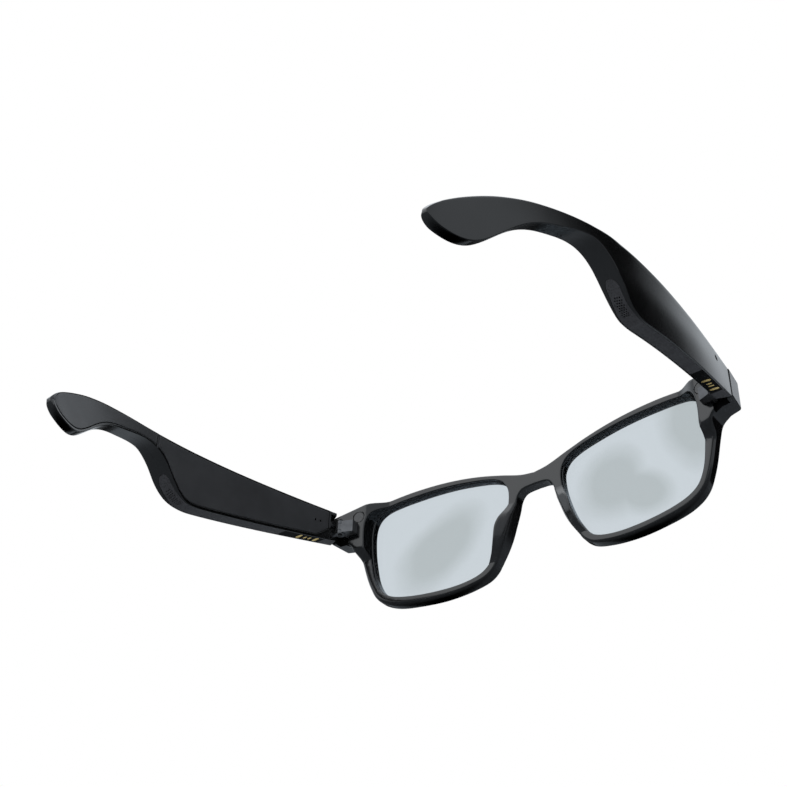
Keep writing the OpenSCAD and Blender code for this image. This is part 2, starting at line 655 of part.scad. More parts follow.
module touch_sensor() color("#b8862b") loft([
    for (y = concat(span(40, 76, 9), [76]))
        let (a = top(y) - 2.4, b = middle(y))
        let (xa = outer(y, a) - shell_wall - 0.12, xb = outer(y, b) - shell_wall - 0.12)
        [[xa - 0.18, y, a], [xb - 0.18, y, b], [xb, y, b], [xa, y, a]]
]);
module left_touch_sensor() place() touch_sensor();
module right_touch_sensor() place_right() touch_sensor();

module flex_cable() color("#b8862b") loft([
    for (y = concat(span(21, 44, 5), [44]))
        let (zb = bottom(y) + 1.75, a = inner(y, zb) + cover_t + 0.7, b = outer(y, zb) - shell_wall - 0.5)
        [[a, y, zb], [b, y, zb], [b, y, zb + 0.15], [a, y, zb + 0.15]]
]);
module left_flex_cable() place() flex_cable();
module right_flex_cable() place_right() flex_cable();

front_frame();
left_lens();
right_lens();
left_nose_pad();
right_nose_pad();
left_frame_hinge();
right_frame_hinge();
left_frame_screw();
right_frame_screw();
left_screw_cap();
right_screw_cap();
left_hinge_pin();
right_hinge_pin();
left_temple_shell();
left_inner_cover();
left_tip_cover();
left_speaker_strip();
left_contact_block();
left_charge_contacts();
left_temple_hinge();
left_leaf_screws();
left_battery();
left_circuit_board();
left_speaker();
left_microphones();
left_touch_sensor();
left_flex_cable();
right_temple_shell();
right_inner_cover();
right_tip_cover();
right_speaker_strip();
right_contact_block();
right_charge_contacts();
right_temple_hinge();
right_leaf_screws();
right_battery();
right_circuit_board();
right_speaker();
right_microphones();
right_touch_sensor();
right_flex_cable();
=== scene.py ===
"""Looks of the smart glasses: camera, studio, materials, and the smooth pieces that dress the solids."""
import math

import bmesh
import bpy
from mathutils import Matrix, Vector
from mathutils.geometry import delaunay_2d_cdt


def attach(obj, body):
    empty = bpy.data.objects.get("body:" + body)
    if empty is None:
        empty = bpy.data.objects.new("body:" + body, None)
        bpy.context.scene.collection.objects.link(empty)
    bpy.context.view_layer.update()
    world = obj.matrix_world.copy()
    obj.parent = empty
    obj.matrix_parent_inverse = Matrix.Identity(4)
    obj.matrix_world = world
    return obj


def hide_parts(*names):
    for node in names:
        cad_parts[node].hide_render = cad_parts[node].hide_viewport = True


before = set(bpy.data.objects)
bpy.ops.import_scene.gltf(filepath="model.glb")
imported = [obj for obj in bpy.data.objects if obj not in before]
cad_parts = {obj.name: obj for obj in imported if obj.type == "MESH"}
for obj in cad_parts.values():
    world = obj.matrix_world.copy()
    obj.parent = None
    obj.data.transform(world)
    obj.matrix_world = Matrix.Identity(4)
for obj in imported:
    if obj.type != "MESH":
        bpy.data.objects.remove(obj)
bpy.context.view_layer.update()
scene = bpy.context.scene
MM = 0.001

# Shapes are worked out in millimetres, with the rear of the bridge near y = 0, on the wearer's left.
# MID_Y is the middle of the object along y, where the part's origin is.
MID_Y = 69.3
SIDES = {"left": 1, "right": -1}

# Front
FRONT_W = 144.2
RIM_DEPTH = 4.2
WRAP_R = 340
REAR_Y = 0.8
# Boss of an end piece: its height, its ramp along x, where its foot fades out, and up to which x
BOSS_T = 3.9
BOSS_X = (53.5, 61)
BOSS_LOW = (20, 23.5)
BOSS_SIDE = 68.5
LENS_T = 1.8
LENS_INSET = 1.5
LENS_GRIP = 0.5

# Temple: places along y, and the knee, the ports and the microphone as (y, z)
TIP_Y = 142
KNEE = (72, 10)
BUTT_Z = 26.3
HINGE_GAP = 0.4
COVER_Y = (18.5, 93.5)
TIP_COVER_Y = (94.5, 140.5)
RECESS_Y = (19.5, 88)
CONTACT_Y = 36.9
GROOVE = 0.2
COVER_T = 0.8
STRIP_T = 0.7
SHELL_WALL = 1.0
STRIP_EDGE = (0.3, 0.45)
STRIP_SHARE = (0.06, 0.91)
POCKET_Y = 17.5
BUTT_BACK = 2.1
# Cut corner of the cover: its height at the cover's front end, and its fall per millimetre
COVER_CORNER = (29, 0.83)
COVER_PORTS = ((22.3, 30.1), (24.6, 29.6))
MIC_AT = (24.3, 32)

# Hinge: the pin's axis as (x, y), its core, the notch below the knuckles, and the screw's cap
PIVOT = (68.1, 13.6)
CORE_X = 63.2
CORE_Y = 8.6
CORE_Z = (28.6, 32.9)
NOTCH = ((66.3, 71), 9.6)
CAP_AT = (62.9, 35)
CAP_R = 1.85
CAP_T = 0.95


# Curves

def fade(value, start, end):
    """0 before start, then smoothly up to 1 at end."""
    t = min(1, max(0, (value - start) / (end - start)))
    return t * t * (3 - 2 * t)


def cubic(a, b, slope_a, slope_b, h, t):
    """Cubic between two values or points with their slopes, a length h apart."""
    s = 1 - t
    between = a * (1 + 2 * t) * s * s + b * t * t * (3 - 2 * t)
    return between + h * (slope_a * t * s * s - slope_b * t * t * s)


def curve(knots, y):
    """Smooth curve through knots of (position, value, slope)."""
    i = 0
    while i < len(knots) - 2 and y >= knots[i + 1][0]:
        i += 1
    (y0, v0, s0), (y1, v1, s1) = knots[i], knots[i + 1]
    h = y1 - y0
    return cubic(v0, v1, s0, s1, h, (y - y0) / h)


def spline(points, steps, closed=False):
    """Smooth line through points, with a number of steps to each span."""
    p = [Vector(v) for v in points]
    n = len(p)

    def tangent(i):
        if closed:
            return (p[(i + 1) % n] - p[i - 1]).normalized()
        return (p[min(i + 1, n - 1)] - p[max(i - 1, 0)]).normalized()

    line = []
    for i in range(n if closed else n - 1):
        j = (i + 1) % n
        h = (p[j] - p[i]).length
        line += [cubic(p[i], p[j], tangent(i), tangent(j), h, k / steps) for k in range(steps)]
    return line if closed else line + [p[-1]]


SHORTEST = 1e-4
FLATTEST = 1e-3
ARC_SHARE = 0.49


def fillet(corners, steps=4):
    """Closed line through (x, z, radius), with an arc at each corner that has a radius."""
    n = len(corners)
    line = []
    for i, (x, z, radius) in enumerate(corners):
        p = Vector((x, z))
        if radius <= 0:
            line.append(p)
            continue
        a = Vector(corners[i - 1][:2]) - p
        b = Vector(corners[(i + 1) % n][:2]) - p
        if min(a.length, b.length) < SHORTEST:
            line.extend([p] * (steps + 1))
            continue
        half = a.angle(b) / 2
        reach = min(radius / max(math.tan(half), FLATTEST), ARC_SHARE * a.length, ARC_SHARE * b.length)
        start, end = p + a.normalized() * reach, p + b.normalized() * reach
        for k in range(steps + 1):
            t = k / steps
            line.append(start * (1 - t) ** 2 + p * 2 * t * (1 - t) + end * t * t)
    return line


def span(a, b, n):
    """Even steps from a up to the last before b."""
    return [a + (b - a) * i / n for i in range(n)]


# Skin of a temple, as in the solids: along y, with the tip turned inwards

def wrap_y(x):
    """Rear of the curved front, without its end pieces."""
    return REAR_Y + WRAP_R - math.sqrt(WRAP_R ** 2 - x * x)


END_Y = wrap_y(FRONT_W / 2) + BOSS_T
BUTT_Y = END_Y + HINGE_GAP
EDGE_SLOPE = (KNEE[1] - BUTT_Z) / (KNEE[0] - BUTT_Y)
BOTTOM_KNOTS = (
    (BUTT_Y, BUTT_Z, EDGE_SLOPE), (*KNEE, EDGE_SLOPE), (78.5, 8.9, 0), (88, 15.9, 1.1), (97, 20.2, 0),
    (108, 17.3, -0.37), (120, 10.3, -0.95), (128.4, 2, -0.75), (134.5, 0, 0), (TIP_Y, 1.4, 0.3),
)
TOP_KNOTS = (
    (BUTT_Y, 36.7, -0.15), (85, 26, -0.145), (102.6, 23.4, -0.17), (116, 20.3, -0.3), (125.2, 16.7, -0.47),
    (134.2, 11.4, -0.68), (TIP_Y, 5.2, -0.85),
)
INNER_KNOTS = (
    (BUTT_Y, 68.55, 0.105), (44, 71.1, 0.06), (70, 72, 0), (93, 71, -0.12), (111, 67.2, -0.27),
    (130, 61.5, -0.3), (TIP_Y, 57.9, -0.28),
)
WIDTH_KNOTS = (
    (BUTT_Y, 4.3, 0), (44, 4.7, 0.015), (82, 4.95, 0), (106, 4.4, -0.03), (122, 3.5, -0.05),
    (TIP_Y, 2.7, -0.03),
)
CROWN_KNOTS = ((BUTT_Y, 0, 0.02), (45, 0.8, 0.02), (88, 1.6, 0), (112, 0.2, -0.03), (TIP_Y, 0, 0))
CROWN_RISE = 9
END_FROM = TIP_Y - 3.6
END_POWER = 2.3
# The knee lies further back on the outer side: by how much, and where that comes and goes
KNEE_SHIFT = 2
SHIFT_COMES = (76, 84)
SHIFT_GOES = (93, 101)
# The tip turns inwards: by how much, between which places, and about which height
TURN = 0.213
TURN_Y = (85, 145)
TURN_Z = 4


def rounded_end(y, start=END_FROM, end=TIP_Y, power=END_POWER):
    """1 before start, then down to 0 at end along a rounded corner."""
    t = min(1, max(0, (y - start) / (end - start)))
    return (1 - t ** power) ** (1 / power)


def raw_mid(y):
    return (curve(BOTTOM_KNOTS, y) + curve(TOP_KNOTS, y)) / 2


def bottom(y, share=0):
    """Height of the bottom edge, at a share of the way across from the head side."""
    shift = KNEE_SHIFT * fade(y, *SHIFT_COMES) * (1 - fade(y, *SHIFT_GOES))
    raw = curve(BOTTOM_KNOTS, y - share * shift)
    return raw_mid(y) + (raw - raw_mid(y)) * rounded_end(y)


def top(y):
    return raw_mid(y) + (curve(TOP_KNOTS, y) - raw_mid(y)) * rounded_end(y)


def thickness(y, z):
    line = BUTT_Z + EDGE_SLOPE * (y - BUTT_Y)
    rise = min(1, max(0, (z - line) / CROWN_RISE))
    return curve(WIDTH_KNOTS, y) + curve(CROWN_KNOTS, y) * math.sin(math.pi / 2 * rise)


def inner(y, z):
    end = math.sqrt(rounded_end(y))
    turn = TURN * fade(y, *TURN_Y)
    return curve(INNER_KNOTS, y) + turn * (z - TURN_Z) + thickness(y, z) * (1 - end) / 2


def outer(y, z):
    return inner(y, z) + thickness(y, z) * math.sqrt(rounded_end(y))


# Meshes

pieces = []
# Angle above which an edge stays sharp, in degrees
SHARP = 32


def add_object(name, data):
    thing = bpy.data.objects.new(name, data)
    scene.collection.objects.link(thing)
    return thing


def to_frame(x, y, z, side):
    return Vector((side * x, y - MID_Y, z)) * MM


def place_of(face, side):
    """Middle of a face in millimetres, as on the wearer's left."""
    return face.center.x * side / MM, face.center.y / MM + MID_Y, face.center.z / MM


def solid_of(name, points, faces, side):
    """Object from points in millimetres on the wearer's left, mirrored for the other side."""
    mesh = bpy.data.meshes.new(name)
    faces = [f if side > 0 else f[::-1] for f in faces]
    mesh.from_pydata([to_frame(*p, side) for p in points], [], faces)
    mesh.update()
    return add_object(name, mesh)


def make_piece(name, points, faces, side, body, slot, node, materials, sharp=SHARP):
    """Visible piece in place of a solid."""
    piece = solid_of(name, points, faces, side)
    for material in materials:
        piece.data.materials.append(material)
    shade(piece, sharp)
    pieces.append(piece)
    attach(piece, body)
    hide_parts(node)
    return piece


def shade(piece, sharp=SHARP):
    piece.data.shade_smooth()
    piece.data.set_sharp_from_angle(angle=math.radians(sharp))


def loft(rings):
    """Points and faces of a closed solid through rings of equal count, with flat ends."""
    count = len(rings[0])
    last = (len(rings) - 1) * count
    faces = []
    for start in range(0, last, count):
        for j in range(count):
            a, b = start + j, start + (j + 1) % count
            faces.append((a, a + count, b + count, b))
    faces.append(tuple(range(count)))
    faces.append(tuple(range(last + count - 1, last - 1, -1)))
    return [p for ring in rings for p in ring], faces


def cut(piece, cutters, solver="EXACT"):
    """Takes the cutters' solids away from a piece, for good."""
    for cutter in cutters:
        step = piece.modifiers.new("cut", "BOOLEAN")
        step.operation = "DIFFERENCE"
        step.solver = solver
        step.object = cutter
    shaped = piece.evaluated_get(bpy.context.evaluated_depsgraph_get())
    old, piece.data = piece.data, bpy.data.meshes.new_from_object(shaped)
    piece.modifiers.clear()
    bpy.data.meshes.remove(old)
    for cutter in cutters:
        bpy.data.objects.remove(cutter)
    shade(piece)


def tube(start, end, radius, side, sides=20, stretch=(0, 0, 0)):
    """Round cutter from start to end, drawn out to a slot by stretch."""
    axis = Vector(end) - Vector(start)
    across = axis.orthogonal().normalized()
    other = axis.normalized().cross(across)
    stretch = Vector(stretch)
    angles = [-2 * math.pi * (k + 0.5) / sides for k in range(sides)]
    arms = [across * math.cos(angle) + other * math.sin(angle) for angle in angles]
    rings = []
    for share in (0, 1):
        centre = Vector(start) + axis * share
        rings.append([centre + arm * radius + stretch * math.copysign(1, arm.dot(stretch)) for arm in arms])
    return solid_of("cutter", *loft(rings), side)


def block(low, high, side):
    """Box-shaped cutter between two corners."""
    (x0, y0, z0), (x1, y1, z1) = low, high
    rings = [[(x0, y, z0), (x1, y, z0), (x1, y, z1), (x0, y, z1)] for y in (y0, y1)]
    return solid_of("cutter", *loft(rings), side)


# Shader nodes

# Range that holds most values of a noise
NOISE_RANGE = (0.3, 0.7)


def feed(tree, node, inputs):
    """Sets a node's inputs, by name or number, to values or to the outputs of other nodes."""
    for key, value in dict(inputs).items():
        if isinstance(value, bpy.types.NodeSocket):
            tree.links.new(value, node.inputs[key])
        else:
            node.inputs[key].default_value = value


def add_node(tree, kind, inputs=(), **settings):
    node = tree.nodes.new(f"ShaderNode{kind}")
    for name, value in settings.items():
        setattr(node, name, value)
    feed(tree, node, inputs)
    return node


def maths(tree, operation, *values):
    return add_node(tree, "Math", enumerate(values), operation=operation).outputs["Value"]


def vector_maths(tree, operation, *values):
    return add_node(tree, "VectorMath", enumerate(values), operation=operation)


def mix(tree, share, first, second):
    """Colour mixed from two colours."""
    node = add_node(tree, "Mix", {"Factor": share}, data_type="RGBA")
    colours = [i for i, socket in enumerate(node.inputs) if socket.type == "RGBA"]
    feed(tree, node, zip(colours, (first, second)))
    return [socket for socket in node.outputs if socket.type == "RGBA"][0]


def map_range(tree, value, source, target=(0, 1), interpolation="LINEAR"):
    """A value's range mapped to another, and held at its ends."""
    limits = zip(("From Min", "From Max", "To Min", "To Max"), (*source, *target))
    node = add_node(tree, "MapRange", {"Value": value, **dict(limits)}, interpolation_type=interpolation)
    return node.outputs["Result"]


def noise(tree, scale, detail=3):
    """Noise over the object, with a scale in waves per metre."""
    place = add_node(tree, "TexCoord").outputs["Object"]
    return add_node(tree, "TexNoise", {"Vector": place, "Scale": scale, "Detail": detail}).outputs["Fac"]


def two_tone(tree, value, dark, light):
    """Colour between two tones, by a value."""
    node = add_node(tree, "ValToRGB", {"Fac": value})
    for element, position, colour in zip(node.color_ramp.elements, NOISE_RANGE, (dark, light)):
        element.position = position
        element.color = (*colour, 1)
    return node.outputs["Color"]


def bumps(tree, height, strength, depth):
    inputs = {"Height": height, "Strength": strength, "Distance": depth}
    return add_node(tree, "Bump", inputs).outputs["Normal"]


# Materials

# Waves of the gloss to each wave of the tone
GLOSS_WAVES = 0.4
PLAIN_DETAIL = 2
GRAIN_DEPTH = 0.00002


def nodes_of(name):
    material = bpy.data.materials.new(name)
    material.use_nodes = True
    return material, material.node_tree, material.node_tree.nodes["Principled BSDF"]


def uneven(tree, rough, tone_scale):
    return map_range(tree, noise(tree, GLOSS_WAVES * tone_scale), NOISE_RANGE, rough)


def finish(name, dark, light, rough, tone_scale, grain_scale, grain, metallic=0, ior=1.5):
    """A surface with two close tones, uneven gloss and a fine grain in its bump."""
    material, tree, shader = nodes_of(name)
    feed(tree, shader, {
        "Base Color": two_tone(tree, noise(tree, tone_scale), dark, light),
        "Roughness": uneven(tree, rough, tone_scale), "Metallic": metallic, "IOR": ior,
        "Normal": bumps(tree, noise(tree, grain_scale, PLAIN_DETAIL), grain, GRAIN_DEPTH),
    })
    return material


# Sound mesh and its dots
MESH_IOR = 1.25
DOT_SCALE = 1800
DOT_RANDOMNESS = 0.7
DOT_EDGE = (0.2, 0.5)
DOT_LEVEL = 0.6
DOT_BUMP = 0.3
DOT_DEPTH = 0.00005


def mesh_finish(name, dark, light, rough, tone_scale):
    """A dull surface with the close-set fine dots of a sound mesh."""
    material, tree, shader = nodes_of(name)
    place = add_node(tree, "TexCoord").outputs["Object"]
    dots = add_node(tree, "TexVoronoi", {"Vector": place, "Scale": DOT_SCALE, "Randomness": DOT_RANDOMNESS})
    share = map_range(tree, dots.outputs["Distance"], DOT_EDGE, (DOT_LEVEL, 1))
    tone = two_tone(tree, noise(tree, tone_scale), dark, light)
    tinted = add_node(tree, "VectorMath", {0: tone, "Scale": share}, operation="SCALE")
    feed(tree, shader, {
        "Base Color": tinted.outputs["Vector"], "Roughness": uneven(tree, rough, tone_scale), "IOR": MESH_IOR,
        "Normal": bumps(tree, share, DOT_BUMP, DOT_DEPTH),
    })
    return material


# Painted reflections in the lenses, as soft darker patches in their tint: middle (x, z) and half lengths in
# millimetres, and turn in degrees
REFLECTION_CLOUDS = ((36.5, 18.8, 25, 15, 38), (-27, 21.5, 16, 17, 0), (-37, 14.5, 16, 10, -36), (-58, 30, 24, 17, -70))
REFLECTION_WAVES = 60
REFLECTION_UNEVEN = 0.3
# Clear tint of the lenses, and the darker tone of the painted reflections
LENS_TINT_AND_REFLECTION = ((0.58, 0.635, 0.675), (0.455, 0.503, 0.522))
LENS_IOR = 1.15


def reflection_cover(tree):
    """How far a point of the lenses lies in one of the painted reflections."""
    place = add_node(tree, "TexCoord").outputs["Object"]
    cover = 0
    for x, z, half, across, turned in REFLECTION_CLOUDS:
        fitted = add_node(tree, "Mapping", {
            "Vector": place, "Location": (x * MM, 0, z * MM), "Rotation": (0, math.radians(turned), 0),
            "Scale": (half * MM, 1, across * MM),
        }, vector_type="TEXTURE")
        ball = add_node(tree, "TexGradient", {"Vector": fitted.outputs["Vector"]}, gradient_type="SPHERICAL")
        cover = maths(tree, "MAXIMUM", cover, ball.outputs["Fac"])
    return maths(tree, "MULTIPLY_ADD", noise(tree, REFLECTION_WAVES, PLAIN_DETAIL), REFLECTION_UNEVEN, cover)


def lens_glass():
    """Clear lens with a pale coat that hardly mirrors, and soft darker patches of painted reflection in its
    tint.
    """
    material, tree, shader = nodes_of("lens_glass")
    painted_reflections = two_tone(tree, reflection_cover(tree), *LENS_TINT_AND_REFLECTION)
    feed(tree, shader, {"Base Color": painted_reflections, "Transmission Weight": 1, "IOR": LENS_IOR, "Roughness": 0})
    return material


# Name, dark and light tone, range of roughness, waves per metre of tone and grain, strength of the grain
GLOSS = finish("gloss_black", (0.0012, 0.0012, 0.0014), (0.0024, 0.0024, 0.0027), (0.1, 0.2), 90, 5000, 0.05)
SATIN = finish("satin_grey", (0.025, 0.0263, 0.0296), (0.034, 0.0356, 0.0396), (0.36, 0.44), 120, 6500, 0.35)
STRIP = mesh_finish("strip_grey", (0.046, 0.048, 0.054), (0.058, 0.0606, 0.068), (0.5, 0.6), 120)
# Painted shade: a duller, hardly mirroring copy of the gloss black, put on faces in gaps, seats and slots
# where shade falls
GAP_SHADE = finish(
    "gap_painted_shade", (0.0012, 0.0012, 0.0013), (0.002, 0.002, 0.0022), (0.6, 0.75), 200, 5000, 0.2, ior=1.2)
PAD = finish("pad_black", (0.003, 0.003, 0.0034), (0.005, 0.005, 0.0056), (0.16, 0.26), 140, 6000, 0.1)
BLOCK = finish(
    "block_black", (0.001, 0.001, 0.0012), (0.002, 0.002, 0.0022), (0.4, 0.5), 200, 7000, 0.08, ior=1.1)
CAP = finish("cap_grey", (0.018, 0.0186, 0.0198), (0.042, 0.0434, 0.046), (0.28, 0.42), 1500, 7000, 0.5)
GOLD = finish("gold", (0.95, 0.64, 0.19), (1, 0.76, 0.29), (0.22, 0.34), 900, 9000, 0.25, metallic=1)
HINGE = finish(
    "hinge_metal", (0.085, 0.087, 0.092), (0.115, 0.118, 0.124), (0.3, 0.42), 500, 7000, 0.25, metallic=0.8)
PIN = finish(
    "pin_dark", (0.012, 0.012, 0.013), (0.022, 0.022, 0.024), (0.3, 0.45), 700, 8000, 0.2, metallic=0.6)
STEEL = finish("steel", (0.45, 0.45, 0.46), (0.62, 0.62, 0.63), (0.2, 0.35), 800, 9000, 0.2, metallic=1)
FOIL = finish("pouch_foil", (0.5, 0.51, 0.53), (0.66, 0.67, 0.69), (0.28, 0.5), 300, 2500, 0.6, metallic=0.8)
BOARD = finish("board_green", (0.01, 0.07, 0.035), (0.02, 0.11, 0.055), (0.3, 0.45), 700, 4000, 0.4)
DRIVER = finish("driver_grey", (0.06, 0.06, 0.065), (0.1, 0.1, 0.105), (0.35, 0.5), 500, 5000, 0.3)
CAN = finish("mic_can", (0.55, 0.45, 0.25), (0.7, 0.58, 0.34), (0.25, 0.4), 900, 8000, 0.2, metallic=1)
FILM = finish("film_amber", (0.32, 0.15, 0.03), (0.42, 0.21, 0.05), (0.3, 0.45), 400, 5000, 0.3)
LENS = lens_glass()

# Solids that show as they are: their finish, and the width of their softened edges
SOLIDS = {
    "frame_hinge": (HINGE, 0.15), "frame_screw": (STEEL, 0.1), "screw_cap": (CAP, 0.22),
    "hinge_pin": (PIN, 0.08), "contact_block": (BLOCK, 0.08), "charge_contacts": (GOLD, 0.06),
    "temple_hinge": (HINGE, 0.12), "leaf_screws": (STEEL, 0.08), "battery": (FOIL, 0.3),
    "circuit_board": (BOARD, 0), "speaker": (DRIVER, 0), "microphones": (CAN, 0), "touch_sensor": (FILM, 0),
    "flex_cable": (FILM, 0),
}
SOLID_SHARP = 30
SOFTENED_FROM = 40


def dress_solids():
    for node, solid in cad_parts.items():
        kind = node.split("_", 1)[1]
        if kind not in SOLIDS:
            continue
        material, width = SOLIDS[kind]
        solid.data.materials.clear()
        solid.data.materials.append(material)
        shade(solid, SOLID_SHARP)
        if width:
            edge = solid.modifiers.new("edge", "BEVEL")
            edge.width = width * MM
            edge.segments = 3
            edge.limit_method = "ANGLE"
            edge.angle_limit = math.radians(SOFTENED_FROM)


# Temple pieces

# Lips above and below the cover, and above and below the tip panel
PLATE_LIP = (0.5, 1.3)
TIP_LIP = (0.3, 1.2)
PLATE_EDGE = 0.18
TIP_ROUND = 3.4
TIP_GROOVE = 0.36
# Heights of the temple below which its edges, and those of its recess, shrink with it
FULL_HEIGHT = 7
FULL_RECESS = 4
BUTT_FROM = BUTT_Y + 0.08
END_WALL = 1.1
HINGE_WALL = 0.7
LOW_WALL = 1.7
# Too small to show: the width of a sudden change, and the least size of what closes up
STEP = 0.02


def plate_lines(y):
    """Upper and lower edge of the panel let into the head side of the temple."""
    lip = PLATE_LIP if y < (COVER_Y[1] + TIP_COVER_Y[0]) / 2 else TIP_LIP
    share = min(1, (top(y) - bottom(y)) / FULL_HEIGHT)
    high = top(y) - lip[0] * share
    low = bottom(y) + lip[1] * share
    if COVER_Y[0] - 1 < y < COVER_Y[1]:
        low = max(low, COVER_CORNER[0] - COVER_CORNER[1] * (y - COVER_Y[0]))
    close = max(STEP, rounded_end(y, TIP_COVER_Y[1] - TIP_ROUND, TIP_COVER_Y[1]))
    middle = (high + low) / 2
    return middle + (high - middle) * close, middle + (low - middle) * close


def in_panel(y):
    covered = COVER_Y[0] - GROOVE < y < COVER_Y[1] + GROOVE
    return covered or TIP_COVER_Y[0] - GROOVE < y < TIP_COVER_Y[1] + GROOVE


# The recess of the strip has a round rear end, and narrows towards it by a share
RECESS_ROUND = 2
CIRCLE = 2
NARROWING = 0.3
NARROWING_Y = (79, 86)


def strip_edges(y):
    """Edges of the recess in the bottom, as (x, z) on the head side and on the outer side."""
    share = min(1, (top(y) - bottom(y)) / FULL_RECESS)
    a = inner(y, bottom(y)) + STRIP_EDGE[0] * share
    b = outer(y, bottom(y, 1)) - STRIP_EDGE[1] * share
    za, zb = bottom(y, STRIP_SHARE[0]), bottom(y, STRIP_SHARE[1])
    end = rounded_end(y, RECESS_Y[1] - RECESS_ROUND, RECESS_Y[1], CIRCLE)
    width = max(STEP, end * (1 - NARROWING * fade(y, *NARROWING_Y)))
    middle, level = (a + b) / 2, (za + zb) / 2
    return tuple((middle + (x - middle) * width, level + (z - level) * width) for x, z in ((a, za), (b, zb)))


# Towards the tip the outer side ends lower than the top, but by no more than a share of the height
LEAN = 0.6
LEAN_Y = (88, 102)
LEAN_SHARE = 0.1
# Largest shares of the height for the walls of the hollow, and for the recess in the bottom
HIGH_SHARE = 0.25
LOW_SHARE = 0.3
RECESS_SHARE = 0.2
# How far the lower wall reaches past the panel's lower edge, and how far a shut slit is open
OVER_EDGE = 1.2
SLIT_SHARE = 0.25
SEAT_ROOM = 0.1
# Radii of the shell's edges at full height
PANEL_LOW_R = 0.16
BOTTOM_R = 0.3
OUTER_BOTTOM_R = 0.35
OUTER_TOP_R = 0.95
TOP_R = 0.3
PANEL_HIGH_R = 0.08
OUTER_ROWS = 7
HOLLOW_ROWS = 5


def shell_ring(y):
    """Section of the shell, from the panel's lower edge round the bottom and the top to the hollow."""
    zt, zb, zo = top(y), bottom(y), bottom(y, 1)
    height = zt - zb
    ze = zt - min(LEAN * fade(y, *LEAN_Y), LEAN_SHARE * height)
    size = max(min(1, height / FULL_HEIGHT), STEP)
    high, low = plate_lines(y)
    if in_panel(y):
        high += GROOVE * size
        low -= (GROOVE if y < COVER_Y[1] + 0.5 else TIP_GROOVE) * size
    pocket = y < POCKET_Y
    seat = COVER_T + SEAT_ROOM if pocket or in_panel(y) else STEP
    wall_high = zt - min(END_WALL, HIGH_SHARE * height)
    wall_low = zb + max(min(LOW_WALL, LOW_SHARE * height), OVER_EDGE * (low - zb))
    if pocket:
        high, low = zt - END_WALL, zb + HINGE_WALL
        wall_high, wall_low = high - STEP, low + STEP
    wall_high, wall_low = min(wall_high, high), max(wall_low, low)
    if wall_high < wall_low:
        wall_high, wall_low = high - SLIT_SHARE * (high - low), low + SLIT_SHARE * (high - low)
    open_inside = pocket or COVER_Y[0] < y < COVER_Y[1]

    def hollow(z):
        return outer(y, z) - SHELL_WALL if open_inside else inner(y, z) + seat + STEP

    (xi, zi), (xo, zj) = strip_edges(y)
    depth = min(STRIP_T, RECESS_SHARE * height) if RECESS_Y[0] < y < RECESS_Y[1] else STEP / 2
    corners = [
        (inner(y, low), low, PANEL_LOW_R * size), (inner(y, zb), zb, BOTTOM_R * size),
        (xi, zi, 0), (xi, zi + depth, 0), (xo, zj + depth, 0), (xo, zj, 0),
        (outer(y, zo), zo, OUTER_BOTTOM_R * size),
        *[(outer(y, z), z, 0) for z in span(zo, ze, OUTER_ROWS)[1:]],
        (outer(y, ze), ze, OUTER_TOP_R * size), (inner(y, zt), zt, TOP_R * size),
        (inner(y, high), high, PANEL_HIGH_R * size), (inner(y, high) + seat, high, 0),
        (inner(y, wall_high) + seat, wall_high, 0),
        *[(hollow(z), z, 0) for z in span(wall_high, wall_low, HOLLOW_ROWS)], (hollow(wall_low), wall_low, 0),
        (inner(y, wall_low) + seat, wall_low, 0), (inner(y, low) + seat, low, 0),
    ]
    return fillet(corners)


TIP_STEPS = 12
LAST_STEP = 0.004
ROUND_STEPS = 8
PLAIN_STEPS = 126
CLOSEST = 0.3
CORNER_RUN = 1.2


def temple_stations():
    """Places of the rings along y, closer at round ends and doubled where the shape changes at once."""
    sudden = (POCKET_Y, COVER_Y[0] - GROOVE, COVER_Y[0], *RECESS_Y, COVER_Y[1], COVER_Y[1] + GROOVE,
              TIP_COVER_Y[0] - GROOVE, TIP_COVER_Y[1] + GROOVE)
    tip = [math.sin(math.pi / 2 * i / TIP_STEPS) for i in range(1, TIP_STEPS + 1)]
    end = [math.sin(math.pi / 2 * i / ROUND_STEPS) for i in range(ROUND_STEPS)]
    kept = [y + d for y in sudden for d in (-STEP, STEP)]
    kept += [END_FROM + (TIP_Y - LAST_STEP - END_FROM) * s for s in tip]
    kept += [RECESS_Y[1] - RECESS_ROUND + RECESS_ROUND * s for s in end]
    kept += [TIP_COVER_Y[1] - TIP_ROUND * (1 - s) for s in end]
    kept.append(COVER_Y[0] + (COVER_CORNER[0] - bottom(COVER_Y[0])) * CORNER_RUN)
    plain = span(BUTT_FROM, END_FROM, PLAIN_STEPS) + [END_FROM]
    return sorted(kept + [y for y in plain if min(abs(y - k) for k in kept) > CLOSEST])


# The butt end slants back towards the head: from where, over which width, up to which share
SLANT_FROM = FRONT_W / 2 - 0.4
SLANT_W = 3.1
SLANT_MOST = 1.2


def slanted(x, y, z):
    """A point of the shell, moved back on the head side near the slanting butt end."""
    if y >= POCKET_Y:
        return x, y, z
    across = min(SLANT_MOST, max(0, (SLANT_FROM - x) / SLANT_W))
    back = y + BUTT_BACK * across * (POCKET_Y - y) / (POCKET_Y - BUTT_Y)
    share = (z - bottom(y)) / (top(y) - bottom(y))
    rise = (bottom(back) - bottom(y)) * (1 - share) + (top(back) - top(y)) * share
    return x + inner(back, z) - inner(y, z), back, z + rise


SHELL_FINISHES = [GLOSS, SATIN, STRIP, GAP_SHADE]
# Least part of a normal along an axis, for a face that looks that way
FACING = 0.6
BUTT_FACING = 0.5
BUTT_REACH = 3
# How deep the walls of the panels' seats lie, which get the dull black of painted shade, and how far above
# the bottom they begin
SEAT_DEPTH = (0.15, COVER_T + 0.2)
SEAT_FROM = 0.8
TIP_SEAT_FROM = 0.25


